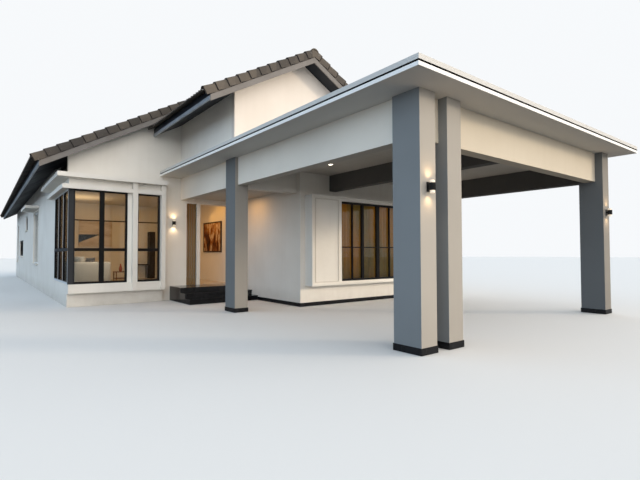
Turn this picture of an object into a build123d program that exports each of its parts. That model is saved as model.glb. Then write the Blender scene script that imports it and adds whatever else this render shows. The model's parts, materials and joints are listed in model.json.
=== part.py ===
"""Single-storey bungalow with a forward gable, a corner bay window and a flat-roofed carport.

All sizes are real ones in millimetres, +Z up, with the entrance side towards -Y.
The origin is on the ground, under the middle of the whole house.
"""
from build123d import *
from math import radians, tan
import os

# Walls and plan
wall = 150
left_wall_reach = 5130
right_wall_reach = 4980
house_depth = 24300
gable_setback = 3830
porch_wall_reach = 330
upper_wall_reach = 2100
upper_wall_setback = 260
inner_wall_setback = 8600

# Levels above the ground
floor_level = 420
floor_thickness = 120
room_ceiling_level = 3250
board = 12

# Roof
pitch = 29.3
main_ridge_level = 6820
front_ridge_drop = 375
main_eave_overhang = 650
front_eave_overhang = 790
main_verge_overhang = 425
front_verge_overhang = 460
barge_drop = 60
barge_height = 145
barge_thickness = 30
roof_depth = 215
verge_rise = 90
verge_width = 165
verge_lip = 15
fascia_height = 230
fascia_thickness = 30
ridge_radius = 140
ridge_foot = 45
roof_slab_gap = 20
tile_overhang = 180
tile_course = 280
tile_nose = 68
tile_head = 30

# Carport and porch
slab_soffit = 3690
slab_lower_band = 60
slab_groove = 16
slab_upper_band = 76
slab_groove_depth = 25
slab_left_overhang = 565
slab_right_overhang = 440
slab_front_overhang = 455
column_width = 340
column_depth = 500
column_pair_gap = 280
column_right_reach = 4600
column_front_reach = 5440
rear_column_setback = 65
beam_soffit = 3030
beam_width = 230
beam_recess = 75
front_beam_recess = 155
middle_beam_reach = 655
middle_beam_soffit = 3100
porch_beam_soffit = 2985
porch_beam_setback = 180
ceiling_level = 3530
porch_ceiling_level = 3100

# Entrance
step_run = 360
step_reach = 2420
landing_run = 890
nosing = 20
tread = 30
lamp_wall_reach = 1915
sidelight_width = 335
post_width = 105
door_head = 2945

# Corner bay window
bay_projection = 300
bay_right_reach = 2670
bay_side_end = 6300
bay_base_recess = 200
bay_sill_bottom = 360
bay_sill_level = 600
bay_head_level = 3110
bay_head_recess = 70
bay_ledge_level = 3375
bay_ledge_height = 115
bay_ledge_front = 160
bay_ledge_side = 290
bay_ledge_end = 7200
bay_hood_level = 3090
bay_hood_height = 115
bay_hood_front = 45
bay_hood_side = 165
bay_hood_end = 6750
pilaster_projection = 60
left_pilaster_reach = 3580
left_pilaster_width = 135
right_pilaster_width = 120
bay_transom = 1505
bay_transom_height = 80
bay_bar = 2285
bay_corner_post = 150
bay_jamb = 105

# Right block window
surround_inset = 145
surround_projection = 325
surround_rim = 55
surround_recess = 40
surround_bottom = 540
surround_top = 2930
front_window_offset = 1180
front_window_width = 2980
front_window_sill = 630
front_window_head = 2820
front_window_bar = 1560
stile = 85
double_stile = 125

# Windows and glass
frame_width = 55
frame_depth = 60
mullion = 60
thin_bar = 28
frame_setback = 90
glass = 8
bay_frame_setback = 95
sill_depth = 70
sill_height = 50

# Drapes behind the right block window, on a pelmet
pelmet_depth = 170
pelmet_height = 60
pelmet_clearance = 120
pelmet_level = 2960
drape_thickness = 90
drape_gap = 60
drape_floor_gap = 20
seat_clearance = 0.3

# Lamps, picture and sofa
lamp_radius = 48
lamp_height = 210
lamp_level = 2315
entrance_lamp_offset = 345
lamp_standoff = 25
lamp_plate = 70
picture_width = 1500
picture_height = 1080
picture_depth = 40
picture_border = 45
picture_level = 1980
picture_setback = 1625
sofa_length = 2100
sofa_depth = 935
sofa_seat = 430
sofa_back = 800
sofa_back_depth = 240
sofa_arm = 180
sofa_arm_height = 745
sofa_wall_gap = 105
sofa_setback = 500
sofa_leg = 60
sofa_leg_inset = 80
cushion_size = 480
cushion_depth = 150

# Side windows: distance of the front edge from the rear wall's face, width, sill level, head level
left_window_sizes = [
    (13100, 2000, 1000, 3100),
    (8100, 1100, 2540, 3240),
    (5400, 2500, 1280, 2130),
    (1800, 800, 960, 3050),
]
right_window_sizes = [
    (18100, 2500, 1280, 2600),
    (13100, 2000, 1280, 2600),
    (8100, 1100, 2140, 2600),
    (4400, 2500, 1280, 2600),
]

# Upright bars of the right block's front window: distance from its middle, width
front_window_bars = [(-1005, thin_bar), (-615, stile), (0, double_stile), (495, thin_bar), (1000, stile)]

# The right block's side window, measured from the front, and the two rear windows
block_window_setback = 1700
block_window_width = 1800
block_window_sill = 960
block_window_head = 3050
rear_window_width = 2200
rear_window_spacing = 4600
rear_window_sill = 1280
rear_window_head = 2780
hood_projection = 450
hood_height = 100
hood_rise = 90
hood_side = 150

# Derived sizes
slope = tan(radians(pitch))
main_eave_left = left_wall_reach + main_eave_overhang
main_eave_right = right_wall_reach + main_eave_overhang
front_eave_left = upper_wall_reach + front_eave_overhang
ridge_x = (main_eave_left - main_eave_right) / 2
rear_verge = house_depth + main_verge_overhang
slab_front_reach = column_front_reach + slab_front_overhang
front_y = (slab_front_reach - rear_verge - verge_lip) / 2

left_face = ridge_x - left_wall_reach
right_face = ridge_x + right_wall_reach
porch_face = ridge_x - porch_wall_reach
upper_face = ridge_x - upper_wall_reach
gable_y = front_y + gable_setback
rear_y = front_y + house_depth
upper_y = front_y + upper_wall_setback
main_verge_y = gable_y - main_verge_overhang
front_verge_y = upper_y - front_verge_overhang
rear_verge_y = front_y + rear_verge
inner_y = front_y + inner_wall_setback

front_ridge_level = main_ridge_level - front_ridge_drop
slab_top = slab_soffit + slab_lower_band + slab_groove + slab_upper_band
column_left = upper_face - beam_recess
column_second = column_left + column_width + column_pair_gap
column_right = ridge_x + column_right_reach - column_width
column_front = front_y - column_front_reach
slab_left = column_left - slab_left_overhang
slab_right = column_right + column_width + slab_right_overhang
slab_front = column_front - slab_front_overhang
slab_back = upper_y + wall
column_rear = front_y + rear_column_setback

bay_y = gable_y - bay_projection
bay_right = ridge_x - bay_right_reach
bay_window_y = bay_y + bay_frame_setback
bay_side_y = front_y + bay_side_end
left_pilaster = ridge_x - left_pilaster_reach
ledge_top = bay_ledge_level + bay_ledge_height

# Windows as start along the wall, width, sill level and head level
left_windows = [(rear_y - back, *size) for back, *size in left_window_sizes]
right_windows = [(front_y + block_window_setback, block_window_width, block_window_sill, block_window_head)]
right_windows += [(rear_y - back, *size) for back, *size in right_window_sizes]
rear_windows = [
    (ridge_x + shift - rear_window_width / 2, rear_window_width, rear_window_sill, rear_window_head)
    for shift in (-rear_window_spacing / 2, rear_window_spacing / 2)
]


def front_plane(y):
    """A drawing plane seen from the entrance side: across is +X, up is +Z."""
    return Plane(origin=(0, y, 0), x_dir=(1, 0, 0), z_dir=(0, -1, 0))


def side_plane(x):
    """A drawing plane seen from the right: across is +Y, up is +Z."""
    return Plane(origin=(x, 0, 0), x_dir=(0, 1, 0), z_dir=(1, 0, 0))


def span(low, high, bottom, top, mode=Mode.ADD):
    """A rectangle of the sketch between two pairs of sides."""
    with Locations(((low + high) / 2, (bottom + top) / 2)):
        Rectangle(high - low, top - bottom, mode=mode)


def save(part, name):
    part.label = name
    export_step(part, f"parts/{name}.step")


def upright(left, right, front, back, bottom, top):
    """A plain post, beam or panel, drawn in plan and raised."""
    with BuildPart() as piece:
        with BuildSketch(Plane.XY.offset(bottom)):
            span(left, right, front, back)
        extrude(amount=top - bottom)
    return piece.part


def underside(x, ridge_level):
    """Level of the roof's underside above the point x."""
    return ridge_level + barge_drop - slope * abs(x - ridge_x)


def slope_band(low, high, reach_left, reach_right, ridge_level, front, back):
    """A layer that follows both roof slopes between two heights over the barge line."""
    with BuildPart() as layer:
        with BuildSketch(front_plane(front)):
            Polygon(
                (ridge_x - reach_left, ridge_level + low - slope * reach_left),
                (ridge_x, ridge_level + low),
                (ridge_x + reach_right, ridge_level + low - slope * reach_right),
                (ridge_x + reach_right, ridge_level + high - slope * reach_right),
                (ridge_x, ridge_level + high),
                (ridge_x - reach_left, ridge_level + high - slope * reach_left),
                align=None,
            )
        extrude(amount=front - back)
    return layer.part


def one_slope(reach, side, ridge_level, front, back):
    """The solid roof build-up of one slope, from the ridge to the eave."""
    low = ridge_level + barge_drop
    eave = ridge_x + side * reach
    with BuildPart() as deck:
        with BuildSketch(front_plane(front)):
            Polygon(
                (ridge_x, low),
                (eave, low - slope * reach),
                (eave, low + roof_depth - slope * reach),
                (ridge_x, low + roof_depth),
                align=None,
            )
        extrude(amount=front - back)
    return deck.part


os.makedirs("parts", exist_ok=True)

# Floor of the rooms, with a tab that runs out through the entrance
with BuildPart() as floor_slab:
    with BuildSketch(Plane.XY.offset(floor_level - floor_thickness)):
        span(left_face + wall, right_face - wall, gable_y + wall, rear_y - wall)
        span(porch_face + wall, right_face - wall, front_y + wall, gable_y + wall)
        span(ridge_x - lamp_wall_reach, porch_face, gable_y, gable_y + wall)
    extrude(amount=floor_thickness)
save(floor_slab.part, "floor_slab")


def side_wall(outer, inner, front, back, ridge_level):
    """A side wall whose top is cut to the roof's slope."""
    with BuildPart() as piece:
        with BuildSketch(front_plane(front)):
            Polygon(
                (outer, 0),
                (inner, 0),
                (inner, underside(inner, ridge_level)),
                (outer, underside(outer, ridge_level)),
                align=None,
            )
        extrude(amount=front - back)
    return piece.part


# Left wall, from the bay window back to the rear, with its windows
with BuildPart() as left_side_wall:
    add(side_wall(left_face, left_face + wall, bay_side_y, rear_y, main_ridge_level))
    with BuildSketch(side_plane(left_face)):
        for start, width, sill, head in left_windows:
            span(start, start + width, sill, head)
    extrude(amount=wall, mode=Mode.SUBTRACT)
save(left_side_wall.part, "left_side_wall")

# Right wall: under the flat slab first, then the front roof, then the main roof
with BuildPart() as right_side_wall:
    with BuildSketch(side_plane(right_face - wall)):
        span(front_y, slab_back, 0, slab_soffit)
    extrude(amount=wall)
    add(side_wall(right_face, right_face - wall, slab_back, gable_y, front_ridge_level))
    add(side_wall(right_face, right_face - wall, gable_y, rear_y, main_ridge_level))
    with BuildSketch(side_plane(right_face - wall)):
        for start, width, sill, head in right_windows:
            span(start, start + width, sill, head)
    extrude(amount=wall, mode=Mode.SUBTRACT)
save(right_side_wall.part, "right_side_wall")

# Rear gable wall, between the two side walls
with BuildPart() as rear_wall:
    with BuildSketch(front_plane(rear_y - wall)):
        Polygon(
            (left_face + wall, 0),
            (right_face - wall, 0),
            (right_face - wall, underside(right_face - wall, main_ridge_level)),
            (ridge_x, main_ridge_level + barge_drop),
            (left_face + wall, underside(left_face + wall, main_ridge_level)),
            align=None,
        )
        for start, width, sill, head in rear_windows:
            span(start, start + width, sill, head, Mode.SUBTRACT)
    extrude(amount=-wall)
save(rear_wall.part, "rear_wall")

# Front wall of the right block, with the window opening
front_window_left = porch_face + front_window_offset
front_window_right = front_window_left + front_window_width
with BuildPart() as right_front_wall:
    with BuildSketch(front_plane(front_y)):
        span(porch_face, right_face - wall, 0, slab_soffit)
        span(front_window_left, front_window_right, front_window_sill, front_window_head, Mode.SUBTRACT)
    extrude(amount=-wall)
save(right_front_wall.part, "right_front_wall")

save(upright(porch_face, porch_face + wall, front_y + wall, gable_y, 0, slab_soffit), "porch_side_wall")

# Left gable wall above the bay window, carried on as a band between the two roofs
gable_right = upper_face + wall
band_right = right_face - wall
with BuildPart() as left_gable_wall:
    with BuildSketch(front_plane(gable_y)):
        Polygon(
            (left_face, ledge_top),
            (gable_right, ledge_top),
            (gable_right, underside(gable_right, front_ridge_level)),
            (ridge_x, front_ridge_level + barge_drop),
            (band_right, underside(band_right, front_ridge_level)),
            (band_right, underside(band_right, main_ridge_level)),
            (ridge_x, main_ridge_level + barge_drop),
            (left_face, underside(left_face, main_ridge_level)),
            align=None,
        )
    extrude(amount=-wall)
save(left_gable_wall.part, "left_gable_wall")

# Entrance wall: beside, over and between the sidelight and the doorway
sidelight_left = ridge_x - lamp_wall_reach
post_left = sidelight_left + sidelight_width
door_left = post_left + post_width
save(upright(bay_right, sidelight_left, gable_y, gable_y + wall, 0, ledge_top), "lamp_wall")
save(upright(sidelight_left, porch_face, gable_y, gable_y + wall, door_head, slab_soffit), "entrance_lintel")
save(upright(post_left, door_left, gable_y, gable_y + wall, floor_level, door_head), "entrance_post")
sidelight_y = gable_y + (wall - glass) / 2
save(
    upright(sidelight_left, post_left, sidelight_y, sidelight_y + glass, floor_level, door_head),
    "sidelight_glass",
)


def step(front, back, top, name):
    """One step, its tread standing a nosing proud of the riser."""
    with BuildPart() as piece:
        with BuildSketch(side_plane(ridge_x - step_reach)):
            span(front, back, 0, top)
            span(front - nosing, front, top - tread, top)
        extrude(amount=step_reach - porch_wall_reach)
    save(piece.part, name)


# Black steps up to the doorway; the landing also carries the floor's tab
step_rise = floor_level / 3
landing_front = gable_y - landing_run
middle_front = landing_front - step_run
lower_front = middle_front - step_run
step(lower_front, middle_front, step_rise, "lower_step")
step(middle_front, landing_front, 2 * step_rise, "middle_step")
with BuildPart() as landing:
    with BuildSketch(side_plane(ridge_x - step_reach)):
        span(landing_front, gable_y, 0, floor_level)
        span(landing_front - nosing, landing_front, floor_level - tread, floor_level)
    extrude(amount=step_reach - porch_wall_reach)
    with BuildSketch(Plane.XY):
        span(sidelight_left, porch_face, gable_y, gable_y + wall)
    extrude(amount=floor_level - floor_thickness)
save(landing.part, "landing")


def corner_plan(front, side, inner_front, inner_side, right, back):
    """An L in plan that turns the bay window's corner."""
    span(side, right, front, inner_front)
    span(side, inner_side, front, back)


# Bay window: recessed base, sill band, head, hood, ledge and pilasters
with BuildPart() as bay_base:
    with BuildSketch(Plane.XY):
        base_y = bay_y + bay_base_recess
        corner_plan(base_y, left_face, gable_y + wall, left_face + wall, bay_right, bay_side_y)
    extrude(amount=bay_sill_bottom)
save(bay_base.part, "bay_base")

with BuildPart() as bay_sill:
    with BuildSketch(Plane.XY.offset(bay_sill_bottom)):
        corner_plan(bay_y, left_face, gable_y + wall, left_face + wall, bay_right, bay_side_y)
    extrude(amount=bay_sill_level - bay_sill_bottom)
save(bay_sill.part, "bay_sill")

with BuildPart() as bay_head:
    with BuildSketch(Plane.XY.offset(bay_head_level)):
        head_y = bay_y + bay_head_recess
        corner_plan(head_y, left_face, gable_y + wall, left_face + wall, bay_right, bay_side_y)
    extrude(amount=bay_ledge_level - bay_head_level)
save(bay_head.part, "bay_head")

with BuildPart() as bay_ledge:
    with BuildSketch(Plane.XY.offset(bay_ledge_level)):
        span(left_face - bay_ledge_side, bay_right, bay_y - bay_ledge_front, gable_y)
        span(left_face - bay_ledge_side, left_face, gable_y, front_y + bay_ledge_end)
        span(left_face, left_face + wall, gable_y, bay_side_y)
        span(left_face, bay_right, gable_y, gable_y + wall)
    extrude(amount=bay_ledge_height)
save(bay_ledge.part, "bay_ledge")

# The hood stops at the left pilaster and goes on between the two
pilasters = [
    (left_pilaster, left_pilaster + left_pilaster_width),
    (bay_right - right_pilaster_width, bay_right),
]
hood_y = bay_y - bay_hood_front
with BuildPart() as bay_hood:
    with BuildSketch(Plane.XY.offset(bay_hood_level)):
        span(left_face - bay_hood_side, left_pilaster, hood_y, bay_y + bay_head_recess)
        span(left_face - bay_hood_side, left_face, bay_y + bay_head_recess, front_y + bay_hood_end)
        span(pilasters[0][1], pilasters[1][0], hood_y, bay_y + bay_head_recess)
    extrude(amount=bay_hood_height)
save(bay_hood.part, "bay_hood")

with BuildPart() as bay_pilasters:
    for left, right in pilasters:
        with BuildSketch(side_plane(left)):
            span(bay_y - pilaster_projection, bay_y, bay_sill_bottom, bay_ledge_level)
            span(bay_y, bay_y + bay_head_recess, bay_sill_level, bay_ledge_level)
            span(bay_y, gable_y, bay_sill_level, bay_head_level)
        extrude(amount=right - left)
    with BuildSketch(side_plane(left_pilaster - bay_jamb)):
        span(bay_y + bay_head_recess, gable_y, bay_sill_level, bay_head_level)
    extrude(amount=bay_jamb)
save(bay_pilasters.part, "bay_pilasters")


def window_frame(across, bars, sill, head, transoms):
    """A frame drawn in elevation: a border, full-height mullions and horizontal bars."""
    low, high = across
    span(low, high, sill, head)
    edges = [low + frame_width]
    for centre, width in bars:
        edges += [centre - width / 2, centre + width / 2]
    edges.append(high - frame_width)
    levels = [sill + frame_width]
    for centre, width in transoms:
        levels += [centre - width / 2, centre + width / 2]
    levels.append(head - frame_width)
    for left, right in zip(edges[::2], edges[1::2]):
        for bottom, top in zip(levels[::2], levels[1::2]):
            span(left, right, bottom, top, Mode.SUBTRACT)


# Bay window frames: the corner post is the end of the first front frame
bay_levels = [(bay_transom, bay_transom_height), (bay_bar, thin_bar)]
bay_windows = [(left_face, pilasters[0][0] - bay_jamb), (pilasters[0][1], pilasters[1][0])]
side_start = bay_window_y + frame_depth
side_third = (bay_side_y - side_start) / 3
with BuildPart() as bay_window_frames:
    for low, high in bay_windows:
        bars = [((low + bay_corner_post + high) / 2, 2 * mullion)] if low == left_face else []
        with BuildSketch(front_plane(bay_window_y)):
            window_frame((low, high), bars, bay_sill_level, bay_head_level, bay_levels)
            if bars:
                span(low, low + bay_corner_post, bay_sill_level, bay_head_level)
        extrude(amount=-frame_depth)
save(bay_window_frames.part, "bay_window_frames")

with BuildPart() as bay_side_frame:
    with BuildSketch(side_plane(left_face)):
        side_bars = [(side_start + side_third * number, mullion) for number in (1, 2)]
        window_frame((side_start, bay_side_y), side_bars, bay_sill_level, bay_head_level, bay_levels[:1])
    extrude(amount=frame_depth)
save(bay_side_frame.part, "bay_side_frame")

bay_glass_y = bay_window_y + frame_depth
with BuildPart() as bay_glass:
    for low, high in bay_windows:
        inset = frame_depth + glass if low == left_face else 0
        with BuildSketch(front_plane(bay_glass_y)):
            span(low + inset, high, bay_sill_level, bay_head_level)
        extrude(amount=-glass)
    with BuildSketch(side_plane(left_face + frame_depth)):
        span(bay_glass_y + glass, bay_side_y, bay_sill_level, bay_head_level)
    extrude(amount=glass)
save(bay_glass.part, "bay_glass")

# Upper walls of the forward gable, standing on the flat slab
with BuildPart() as upper_side_wall:
    add(side_wall(upper_face, upper_face + wall, slab_back, gable_y, front_ridge_level))
    with BuildSketch(side_plane(upper_face)):
        span(slab_back, gable_y, 0, slab_top)
    extrude(amount=wall, mode=Mode.SUBTRACT)
save(upper_side_wall.part, "upper_side_wall")

upper_reach_right = (front_ridge_level + barge_drop - slab_top) / slope
with BuildPart() as upper_front_wall:
    with BuildSketch(front_plane(upper_y)):
        Polygon(
            (upper_face, slab_top),
            (ridge_x + upper_reach_right, slab_top),
            (ridge_x, front_ridge_level + barge_drop),
            (upper_face, underside(upper_face, front_ridge_level)),
            align=None,
        )
    extrude(amount=-wall)
save(upper_front_wall.part, "upper_front_wall")


def slab_layer(bottom, height, inset):
    """One layer of the flat slab, set back by inset along its open edges."""
    with BuildPart() as layer:
        with BuildSketch(Plane.XY.offset(bottom)):
            span(slab_left + inset, slab_right - inset, slab_front + inset, slab_back)
            span(slab_left + inset, porch_face + wall, slab_back, gable_y)
        extrude(amount=height)
    return layer.part


# Carport roof: one flat slab with a groove round its edge, carried back over the porch
with BuildPart() as carport_roof:
    add(slab_layer(slab_soffit, slab_lower_band, 0))
    add(slab_layer(slab_soffit + slab_lower_band, slab_groove, slab_groove_depth))
    add(slab_layer(slab_soffit + slab_lower_band + slab_groove, slab_upper_band, 0))
save(carport_roof.part, "carport_roof")

# Columns
column_places = {
    "front_left_column": (column_left, column_front),
    "second_front_column": (column_second, column_front),
    "front_right_column": (column_right, column_front),
    "rear_left_column": (column_left, column_rear),
}
for name, (left, front) in column_places.items():
    save(upright(left, left + column_width, front, front + column_depth, 0, slab_soffit), name)

# Beams under the slab
left_beam_x = column_left + beam_recess
right_beam_x = column_right + column_width - beam_recess - beam_width
front_beam_y = column_front + front_beam_recess
column_back = column_front + column_depth
with BuildPart() as left_beam:
    with BuildSketch(Plane.XY.offset(beam_soffit)):
        span(left_beam_x, left_beam_x + beam_width, column_back, column_rear)
        span(left_beam_x, left_beam_x + beam_width, column_rear + column_depth, gable_y)
    extrude(amount=slab_soffit - beam_soffit)
save(left_beam.part, "left_beam")
save(
    upright(right_beam_x, right_beam_x + beam_width, column_back, front_y, beam_soffit, slab_soffit),
    "right_beam",
)
with BuildPart() as front_beam:
    with BuildSketch(Plane.XY.offset(beam_soffit)):
        span(column_left + column_width, column_second, front_beam_y, front_beam_y + beam_width)
        span(column_second + column_width, column_right, front_beam_y, front_beam_y + beam_width)
    extrude(amount=slab_soffit - beam_soffit)
save(front_beam.part, "front_beam")
middle_beam_x = ridge_x + middle_beam_reach
middle_beam_front = front_beam_y + beam_width
save(
    upright(
        middle_beam_x, middle_beam_x + beam_width, middle_beam_front, front_y, middle_beam_soffit, slab_soffit
    ),
    "middle_beam",
)
porch_beam_y = front_y + porch_beam_setback
save(
    upright(
        column_left + column_width, porch_face, porch_beam_y, porch_beam_y + beam_width,
        porch_beam_soffit, slab_soffit,
    ),
    "porch_beam",
)

# Ceiling boards hung inside the beams
with BuildPart() as ceiling_panels:
    with BuildSketch(Plane.XY.offset(ceiling_level)):
        span(left_beam_x + beam_width, middle_beam_x, middle_beam_front, front_y)
        span(middle_beam_x + beam_width, right_beam_x, middle_beam_front, front_y)
        for left, front in column_places.values():
            span(left, left + column_width, front, front + column_depth, Mode.SUBTRACT)
    extrude(amount=board)
    with BuildSketch(Plane.XY.offset(porch_ceiling_level)):
        span(left_beam_x + beam_width, porch_face, porch_beam_y + beam_width, gable_y)
        span(column_left, column_left + column_width, column_rear, column_rear + column_depth, Mode.SUBTRACT)
    extrude(amount=board)
save(ceiling_panels.part, "ceiling_panels")

# Window surround of the right block, frame and glass
surround_left = porch_face + surround_inset
surround_right = right_face - surround_inset
surround_y = front_y - surround_projection
with BuildPart() as window_surround:
    with BuildSketch(front_plane(surround_y)):
        span(surround_left, surround_right, surround_bottom, surround_top)
        span(front_window_left, front_window_right, front_window_sill, front_window_head, Mode.SUBTRACT)
    extrude(amount=-surround_projection)
    with BuildSketch(front_plane(surround_y)):
        inner_left = surround_left + surround_rim
        inner_right = surround_right - surround_rim
        span(inner_left, inner_right, surround_bottom + surround_rim, surround_top - surround_rim)
    extrude(amount=-surround_recess, mode=Mode.SUBTRACT)
save(window_surround.part, "window_surround")

right_frame_y = surround_y + surround_recess + frame_setback
front_window_middle = (front_window_left + front_window_right) / 2
with BuildPart() as right_window_frame:
    with BuildSketch(front_plane(right_frame_y)):
        upright_bars = [(front_window_middle + shift, width) for shift, width in front_window_bars]
        sash_bar = [(front_window_bar, thin_bar)]
        across = (front_window_left, front_window_right)
        window_frame(across, upright_bars, front_window_sill, front_window_head, sash_bar)
    extrude(amount=-frame_depth)
save(right_window_frame.part, "right_window_frame")
glass_y = right_frame_y + frame_depth
save(
    upright(
        front_window_left, front_window_right, glass_y, glass_y + glass, front_window_sill, front_window_head
    ),
    "right_window_glass",
)

# Pelmet inside the right block's front wall, with two drapes that hang from it
room_face = front_y + wall
pelmet_left = front_window_left - pelmet_clearance
pelmet_right = front_window_right + pelmet_clearance
save(
    upright(
        pelmet_left, pelmet_right, room_face, room_face + pelmet_depth,
        pelmet_level, pelmet_level + pelmet_height,
    ),
    "pelmet",
)
drape_y = room_face + (pelmet_depth - drape_thickness) / 2
drape_middle = (pelmet_left + pelmet_right) / 2
with BuildPart() as window_drapes:
    with BuildSketch(Plane.XY.offset(floor_level + drape_floor_gap)):
        span(pelmet_left, drape_middle - drape_gap / 2, drape_y, drape_y + drape_thickness)
        span(drape_middle + drape_gap / 2, pelmet_right, drape_y, drape_y + drape_thickness)
    extrude(amount=pelmet_level - seat_clearance - floor_level - drape_floor_gap)
save(window_drapes.part, "window_drapes")

# Roof slopes
save(one_slope(main_eave_left, -1, main_ridge_level, main_verge_y + barge_thickness,
               rear_verge_y - barge_thickness), "main_roof_left")
save(one_slope(main_eave_right, 1, main_ridge_level, main_verge_y + barge_thickness,
               rear_verge_y - barge_thickness), "main_roof_right")
save(one_slope(front_eave_left, -1, front_ridge_level, front_verge_y + barge_thickness, gable_y),
     "front_roof_left")

# The right slope comes down behind the flat slab, so its lower part starts there
slab_meets_roof = (front_ridge_level - slab_top - roof_slab_gap) / slope
with BuildPart() as front_roof_right:
    add(one_slope(main_eave_right, 1, front_ridge_level, front_verge_y + barge_thickness, gable_y))
    with BuildSketch(Plane.XY):
        span(
            ridge_x + slab_meets_roof, ridge_x + main_eave_right,
            front_verge_y, slab_back + roof_slab_gap,
        )
    extrude(amount=main_ridge_level, mode=Mode.SUBTRACT)
save(front_roof_right.part, "front_roof_right")



def tile_courses(reach, side, ridge_level, front, back):
    """The tiles of one slope as stepped courses on the deck, the lowest one past the eave."""
    deck = ridge_level + barge_drop + roof_depth
    nose = reach + tile_overhang
    outline = [(nose, 0)]
    while nose > ridge_radius:
        head = max(nose - tile_course, ridge_radius)
        outline.append((nose, tile_nose))
        outline.append((head, tile_nose - (tile_nose - tile_head) * (nose - head) / tile_course))
        nose = head
    outline.append((ridge_radius, 0))
    with BuildPart() as courses:
        with BuildSketch(front_plane(front)):
            points = [(ridge_x + side * run, deck - slope * run + height) for run, height in outline]
            Polygon(*points, align=None)
        extrude(amount=front - back)
    return courses.part


# Roof tiles between the verges; the right front slope is cut as its deck is
with BuildPart() as roof_tiles:
    add(tile_courses(main_eave_right, 1, front_ridge_level, front_verge_y + verge_width, gable_y))
    with BuildSketch(Plane.XY):
        span(
            ridge_x + slab_meets_roof, ridge_x + main_eave_right + tile_overhang,
            front_verge_y, slab_back + roof_slab_gap,
        )
    extrude(amount=main_ridge_level, mode=Mode.SUBTRACT)
    add(tile_courses(front_eave_left, -1, front_ridge_level, front_verge_y + verge_width, gable_y))
    main_run = (main_verge_y + verge_width, rear_verge_y - verge_width)
    add(tile_courses(main_eave_left, -1, main_ridge_level, *main_run))
    add(tile_courses(main_eave_right, 1, main_ridge_level, *main_run))
save(roof_tiles.part, "roof_tiles")

# Bargeboards on the rakes, covering the ends of the eave fascias
barge_left = main_eave_left + fascia_thickness
barge_right = main_eave_right + fascia_thickness
with BuildPart() as bargeboards:
    add(slope_band(0, barge_height, front_eave_left + fascia_thickness, slab_meets_roof, front_ridge_level,
                   front_verge_y, front_verge_y + barge_thickness))
    add(slope_band(0, barge_height, barge_left, barge_right, main_ridge_level,
                   main_verge_y, main_verge_y + barge_thickness))
    add(slope_band(0, barge_height, barge_left, barge_right, main_ridge_level,
                   rear_verge_y - barge_thickness, rear_verge_y))
save(bargeboards.part, "bargeboards")

# Verge tiling: a drop face over each bargeboard and a cover over the roof's edge
verge_top = barge_drop + roof_depth + verge_rise


def verge(reach_left, reach_right, ridge_level, outer, towards):
    """The verge along one gable; towards is +1 where the roof lies behind the rake."""
    lip = outer - towards * verge_lip
    board = outer + towards * barge_thickness
    inner = outer + towards * verge_width
    faces = sorted((lip, board))
    covers = sorted((board, inner))
    band = (reach_left, reach_right, ridge_level)
    with BuildPart() as piece:
        add(slope_band(barge_height, verge_top, *band, *faces))
        add(slope_band(barge_drop + roof_depth, verge_top, *band, *covers))
    return piece.part


verge_left = main_eave_left + tile_overhang
verge_right = main_eave_right + tile_overhang
with BuildPart() as verge_tiles:
    add(verge(front_eave_left + tile_overhang, slab_meets_roof, front_ridge_level, front_verge_y, 1))
    add(verge(verge_left, verge_right, main_ridge_level, main_verge_y, 1))
    add(verge(verge_left, verge_right, main_ridge_level, rear_verge_y, -1))
save(verge_tiles.part, "verge_tiles")


def ridge_run(ridge_level, front, back):
    """Half-round ridge tiles on a bed that fits the two slopes."""
    top = ridge_level + barge_drop + roof_depth
    with BuildPart() as piece:
        with BuildSketch(front_plane(front)) as section:
            with Locations((ridge_x, top - slope * ridge_radius + ridge_foot)):
                Circle(ridge_radius)
            span(ridge_x - ridge_radius, ridge_x + ridge_radius,
                 top - slope * ridge_radius, top - slope * ridge_radius + ridge_foot)
            with Locations((ridge_x, 0)):
                Polygon(
                    (-2 * ridge_radius, top - 2 * slope * ridge_radius),
                    (0, top),
                    (2 * ridge_radius, top - 2 * slope * ridge_radius),
                    (2 * ridge_radius, top - 4 * ridge_radius),
                    (-2 * ridge_radius, top - 4 * ridge_radius),
                    align=None,
                    mode=Mode.SUBTRACT,
                )
        extrude(amount=front - back)
    return piece.part


with BuildPart() as ridge_tiles:
    add(ridge_run(front_ridge_level, front_verge_y + verge_width, main_verge_y - verge_lip))
    add(ridge_run(main_ridge_level, main_verge_y + verge_width, rear_verge_y - verge_width))
save(ridge_tiles.part, "ridge_tiles")


def fascia(side, reach, ridge_level, front, back):
    """A board along an eave, under the edge of the tiles."""
    top = ridge_level + barge_drop + roof_depth - slope * (reach + fascia_thickness)
    edge = ridge_x + side * reach
    outer = edge + side * fascia_thickness
    return upright(min(edge, outer), max(edge, outer), front, back, top - fascia_height, top)


with BuildPart() as eave_fascias:
    main_length = (main_verge_y + barge_thickness, rear_verge_y - barge_thickness)
    add(fascia(-1, front_eave_left, front_ridge_level, front_verge_y + barge_thickness, gable_y))
    add(fascia(-1, main_eave_left, main_ridge_level, *main_length))
    add(fascia(1, main_eave_right, front_ridge_level, slab_back + roof_slab_gap, gable_y))
    add(fascia(1, main_eave_right, main_ridge_level, *main_length))
save(eave_fascias.part, "eave_fascias")

# Inner walls that show through the doorway and the bay window, and the ceiling over them
with BuildPart() as inner_walls:
    with BuildSketch(Plane.XY.offset(floor_level)):
        span(porch_face, porch_face + wall, gable_y, inner_y + wall)
        span(left_face + wall, porch_face, inner_y, inner_y + wall)
    extrude(amount=room_ceiling_level - floor_level)
save(inner_walls.part, "inner_walls")
save(
    upright(left_face + wall, porch_face + wall, gable_y + wall, inner_y + wall,
            room_ceiling_level, room_ceiling_level + board),
    "room_ceiling",
)

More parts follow.
